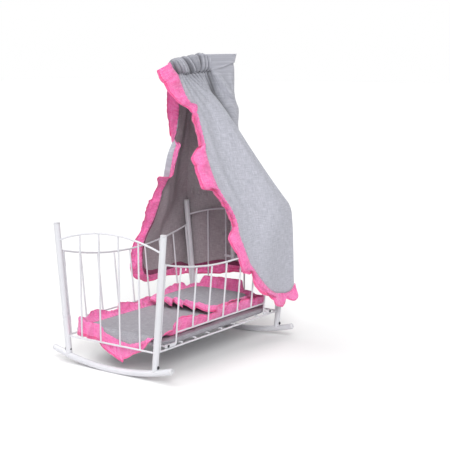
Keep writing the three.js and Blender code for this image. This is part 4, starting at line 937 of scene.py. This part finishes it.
band_start, band_top = first_fold - 60, heading_rows + 14  # the first column and row with a band
rows_near_hem, columns_near_edge = 12, 34  # enough of them to reach its whole width
hem_lines, hem_lift = (grid[band_start:, ::-1][:, :rows_near_hem] for grid in (canopy_grid, inside_facing))
side_lines, side_lift = (grid[::-1].transpose(1, 0, 2)[band_top:, :columns_near_edge]
                         for grid in (canopy_grid, inside_facing))
for name, lines, lift in (("turned_hem", hem_lines, hem_lift), ("turned_side", side_lines, side_lift)):
    band = from_edge(lines, lift, allowance)
    run = np.concatenate([[0], np.cumsum(np.linalg.norm(np.diff(band[:, 0], axis=0), axis=1))])
    cut = np.stack(np.broadcast_arrays(run[:, None], np.linspace(0, allowance, tape_rows)), -1)
    # Its dark red paints the shade that the turned-up pink edge lies in.
    tape = sew(name, band, cut, [turned_edge_shade_cloth], 0.5)
    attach(tape, "canopy")
    print(name, "is", round(run[-1]), "mm long")

# %% [markdown]
# ## Quilt, mattress and pillow
# The quilt and the pillow are sewn bags with soft filling, and the mattress is a thin firm pad.
# Filling pushes a bag's middle up and pulls its sides in between the corners. That could be sculpted
# by hand, but a cloth simulation with a little pressure does it evenly. So the drawing's plain solid
# is copied and cut into even faces, blown up, and brought back to its drawn size. The mattress is too
# firm to blow up: its rims beside the quilt are fuller than its middle, and sag a little between the
# wires of the base.

# %% Fill a bag
filling_steps = 20


def apply_modifiers(bag):
    """Makes what the modifiers show the bag's own mesh."""
    shown = bag.evaluated_get(bpy.context.evaluated_depsgraph_get())
    bag.data = bpy.data.meshes.new_from_object(shown)
    bag.modifiers.clear()


def places_of(mesh):
    """The places of a mesh's points, in metres."""
    places = np.empty(len(mesh.vertices) * 3)
    mesh.vertices.foreach_get("co", places)
    return places.reshape(-1, 3)


def filled_bag(name, node_name, cell, pressure=0, most=0, raised=0, settle=None):
    """A padded piece that starts as a drawn solid, and moves at most so many mm while it fills.

    It keeps its drawn size, but for a top that may be raised. settle moves its places last.
    """
    scene = bpy.context.scene
    source = frame["nodes"][node_name]
    bag = bpy.data.objects.new(name, source.data.copy())
    scene.collection.objects.link(bag)
    even = bag.modifiers.new("even", "REMESH")
    even.mode = "VOXEL"
    even.voxel_size = cell / 1000
    apply_modifiers(bag)
    start = places_of(bag.data)
    if pressure:
        cloth = bag.modifiers.new("filling", "CLOTH")
        cloth.settings.use_pressure = True
        cloth.settings.uniform_pressure_force = pressure
        cloth.settings.effector_weights.gravity = 0
        for step in range(1, filling_steps + 1):
            scene.frame_set(step)
        apply_modifiers(bag)
        scene.frame_set(1)
    moved = places_of(bag.data) - start
    far = np.linalg.norm(moved, axis=1, keepdims=True)
    places = start + moved * np.minimum(1, most / 1000 / np.maximum(far, 1e-9))
    low, high = np.array([tuple(corner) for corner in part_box(node_name)])
    grown = (places - places.min(axis=0)) / np.ptp(places, axis=0)
    places = low + grown * (high + (0, 0, raised / 1000) - low)
    if settle:
        places = settle(places)
    bag.data.vertices.foreach_set("co", places.ravel())
    layer = bag.data.uv_layers.new(name="cut")
    corners = np.empty(len(bag.data.loops), int)
    bag.data.loops.foreach_get("vertex_index", corners)
    layer.data.foreach_set("uv", (places[:, :2] + places[:, 2:])[corners].ravel())
    bag.data.polygons.foreach_set("use_smooth", [True] * len(bag.data.polygons))
    bag.data.materials.clear()
    # The darker grey paints the shade that the bedding lies in.
    bag.data.materials.append(bedding_shade_cloth)
    bag.modifiers.new("smooth", "SUBSURF").levels = 1
    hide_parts(node_name)
    print(name, "measures", np.ptp(places, axis=0).round(3).tolist(), "m")
    return bag


# %% Lay the bedding
pad_rim, pad_sag, pad_spread = 3.2, 4.6, 2.2  # how far the free rims rise, sag and spread
quilt_half_width, base_wire_pitch = 95, 43.5


def under_quilt(places):
    """The quilt presses the pad's middle down to its drawn top, and the long rims stay fuller."""
    low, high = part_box("mattress")
    beside = ease((np.abs(places[:, 1]) * 1000 - quilt_half_width) / 4)
    places[:, 2] = np.minimum(places[:, 2], high.z + pad_rim / 1000 * beside)
    along = (places[:, 0] - posts_middle) * 1000 / base_wire_pitch
    between_wires = ease((np.abs(along - np.round(along)) * base_wire_pitch - 1.5) / 7)
    lowest = 1 - np.clip((places[:, 2] - low.z) / (high.z - low.z), 0, 1)
    bottom = low.z - pad_sag / 1000 * between_wires * beside
    places[:, 2] = np.maximum(places[:, 2] - 1.5 * pad_sag / 1000 * lowest * beside, bottom)
    side = np.minimum(np.abs(places[:, 1]) * 1.03, high.y + pad_spread / 1000)
    places[:, 1] = np.sign(places[:, 1]) * mix(np.abs(places[:, 1]), side, beside)
    return places


mattress = filled_bag("mattress_pad", "mattress", 3, raised=pad_rim, settle=under_quilt)
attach(mattress, "frame")
quilt = filled_bag("quilt", "duvet", 4, pressure=4, most=2)
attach(quilt, "quilt")
pillow = filled_bag("pillow_bag", "pillow", 4, pressure=4, most=4)
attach(pillow, "pillow")

# %% [markdown]
# ### The quilt's end
# At the foot the quilt's cover hangs over the edge of the bed, lower in the middle than at the
# corners. The filled bag could be pulled down there, but then it would lose its drawn size. So the
# hanging part is a small sheet of its own, which bends over from the bag's edge and stands out from
# it where it hangs far enough.

# %% Hang the quilt's end
end_x, cover_top = -185, 82  # where the cover starts to bend over, and its height there


def foot_fall(y):
    """How far the quilt's cover hangs below its seam's height at the foot end."""
    return np.interp(y, [-93, -80, -65, -39, -20, -1, 23, 36], [0, 5, 12, 20, 18, 14, 7, 0])


def foot_push(y):
    """How far it stands out there."""
    return 6 * ease(foot_fall(y) / 8)


cover_y = np.linspace(-93, 36, 66)[:, None]
bent = np.linspace(0, 1, 9)[None, :]
cover_grid = np.stack([
    end_x - (8.5 + foot_push(cover_y)) * np.sin(math.pi / 2 * bent),
    cover_y + 0 * bent,
    cover_top - (5 + foot_fall(cover_y)) * (1 - np.cos(math.pi / 2 * bent)),
], -1)
cover_cut = np.stack([end_x - (13 + foot_fall(cover_y)) * bent, cover_y + 0 * bent], -1)
# The quilt's end gets the darker grey too, which paints shade.
apron = sew("quilt_fall", cover_grid, cover_cut, [bedding_shade_cloth], 0.9)
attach(apron, "quilt")

# %% [markdown]
# ### Ruffles of the bedding
# Quilt and pillow have a ruffle all round. It is made like the canopy's, but its seam is a ring that
# closes, it stands up or lies over on the bed, and it has been handled more. The quilt's seam dips
# along the end that hangs, and its ruffle with it.

# %% The seams of the bedding
def slab_edge(low_x, high_x, half_y, height, corner):
    """A rectangle with round corners, from the foot's right corner along the right side."""
    places = []
    for x, y, quarter in ((high_x, -1, 0), (high_x, 1, 1), (low_x, 1, 2), (low_x, -1, 3)):
        centre = (x - corner if x == high_x else x + corner, y * (half_y - corner))
        for turn in np.linspace(-90, 0, 9) + 90 * quarter:
            angle = math.radians(turn)
            places.append((centre[0] + corner * math.cos(angle),
                           centre[1] + corner * math.sin(angle), height))
    return np.array(places[-1:] + places[:-1])


quilt_seam_z, pillow_seam_z = 77, 94.8
quilt_foot_x, half_foot_side = -193, 79
quilt_ring = slab_edge(quilt_foot_x, 189, 91, quilt_seam_z, 12)
quilt_ring = quilt_ring[quilt_ring[:, 0] > quilt_foot_x + 0.1]
foot_y = np.linspace(half_foot_side, -half_foot_side, 60)
foot_seam = np.stack([quilt_foot_x - 0.5 - foot_push(foot_y), foot_y, quilt_seam_z - foot_fall(foot_y)], -1)
left_half = np.flatnonzero(quilt_ring[:, 1] > 0)[-1] + 1
quilt_seam = np.concatenate([quilt_ring[:left_half], foot_seam, quilt_ring[left_half:]])
pillow_seam = slab_edge(23, 165, 75, pillow_seam_z, 10)
print("the quilt's seam passes", len(quilt_seam), "places, and the pillow's", len(pillow_seam))

# %% The keys of the bedding's ruffles
quilt_keys = [
    (0, -4, 17, 6, 3, 0), (14, 0, 19, 10, 4, 0), (27, 2, 20, 13, 5, 0), (34, -3, 20, 24, 2, 0),
    (48, -4, 19, 34, 1.5, 0), (62, 2, 19, 34, 1.5, 0), (86, 8, 20, 30, 1.5, 0), (95, 4, 20, 18, 9, 0),
    (101, -6, 20, 27, 1.5, 0), (118, 0, 19, 26, 1.5, 0), (131, 6, 20, 21, 1.5, 0), (139, 4, 20, 13, 9, 0),
    (146, -6, 20, 21, 1.5, 0), (166, 2, 20, 22, 1.5, 0), (174, 6, 17, 17, 8, 0), (180, -6, 14, 30, 2, 0),
    (208, 5, 12, 30, 2, 0), (214, 3, 12, 22, 8, 0), (221, -5, 12, 28, 2, 0), (250, 6, 12, 27, 2, 0),
    (258, 2, 13, 20, 8, 0), (265, -5, 14, 26, 2, 0), (300, 5, 17, 26, 2, 0), (308, 0, 20, 19, 8, 0),
    (316, -5, 20, 25, 1.5, 0), (346, 0, 16, 20, 4, 0), (368, 0, 5, 14, 3, 0), (456, 0, 4, 12, 3, 0),
    (540, 0, 5, 6, 3, 0), (565, 0, 12, 3, 4, 0), (660, 0, 16, 5, 5, 0), (690, 4, 16, 16, 4, 0),
    (706, -4, 16, 18, 3, 0), (740, 0, 15, 11, 6, 0), (771, 0, 16, 18, 4, 0), (790, 6, 16, 22, 2, 0),
    (795, 0, 16, 8, 6, 0), (814, 0, 15, 5, 6, 0), (836, -4, 15, 10, 4, 0), (860, -3, 16, 20, 2, 0),
    (872, 4, 16, 18, 5, 0), (898, 4, 15, 6, 8, 0), (908, 0, 16, 3, 13, 0), (914, 0, 16, -6, 16, 0),
    (919, 0, 16, -18, 17, 0), (930, 0, 12, -19, 16, 0), (934, 0, 9, -18, 9, 0), (942, 0, 9, -20, 11, 0),
    (968, 0, 9, -21, 11, 0), (978, 6, 6, -25, 4, 0), (1001, 12, 5, -31, 2, 0), (1021, 10, 4, -35, 1, 0),
    (1034, 3, 4, -36, 0, 0), (1044, -5, 4, -28, 1, 0), (1068, -4, 4, -18, 1, 0),
    (1088, -2, 8, -16, 1, 0), (1100, 0, 13, -7, 3, 0), (1110, -4, 17, 5, 3, 0),
]
pillow_keys = [
    (0, 0, 18, -5, 5, 0), (24, 4, 16, 7, 5, 0), (48, -4, 16, 6, 6, 0), (71, 0, 16, 4, 5, 0),
    (117, 0, 15, -1, 5, 0), (137, 0, 13, 2, 4, 0), (150, 2, 12, 4, 6, 0), (154, 4, 14, 10, 5, 0),
    (158, 2, 15, 26, 3, 0), (166, 0, 15, 28, 3, 0), (204, 0, 15, 27, 4, 0), (240, 0, 15, 26, 3, 0),
    (263, 2, 15, 26, 4, 0), (266, 4, 15, 22, 4, 0), (269, 0, 16, 2, 6, 0), (283, 0, 18, -4, 5, 0),
    (296, 0, 19, 6, 5, 0), (310, 0, 19, 14, 4, 0), (340, 0, 19, 12, 5, 0), (367, 0, 19, 8, 5, 0),
    (400, 0, 20, 1, 5, 0),
    (421, -2, 17, -3, 6, 0), (436, 6, 19, -6, 8, 0), (446, -7, 12, 1, 11, 0), (460, 8, 20, -7, 7, 0),
    (471, -8, 12, 3, 12, 0), (488, 8, 19, -7, 7, 0), (499, -7, 13, 0, 11, 0), (520, 7, 20, -7, 7, 0),
    (532, -6, 14, -1, 10, 0), (552, 0, 18, -6, 6, 0), (567, 0, 17, -5, 5, 0),
]
print(len(quilt_keys), "keys round the quilt and", len(pillow_keys), "round the pillow")

# %% The bedding's ruffles
for name, seam, keys, body, middle in (
    ("duvet_ruffle", quilt_seam, quilt_keys, "quilt", (0, 0, quilt_seam_z)),
    ("pillow_ruffle", pillow_seam, pillow_keys, "pillow", (94, 0, pillow_seam_z)),
):
    ruffle, length, area = frill(name + "_cloth", seam, one_way(0, 0, 1), np.array(middle), keys,
                                 is_loop=True, crumple=2.2, belly=0.16)
    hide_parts(name)
    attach(ruffle, body)
    tell(name, length, area)
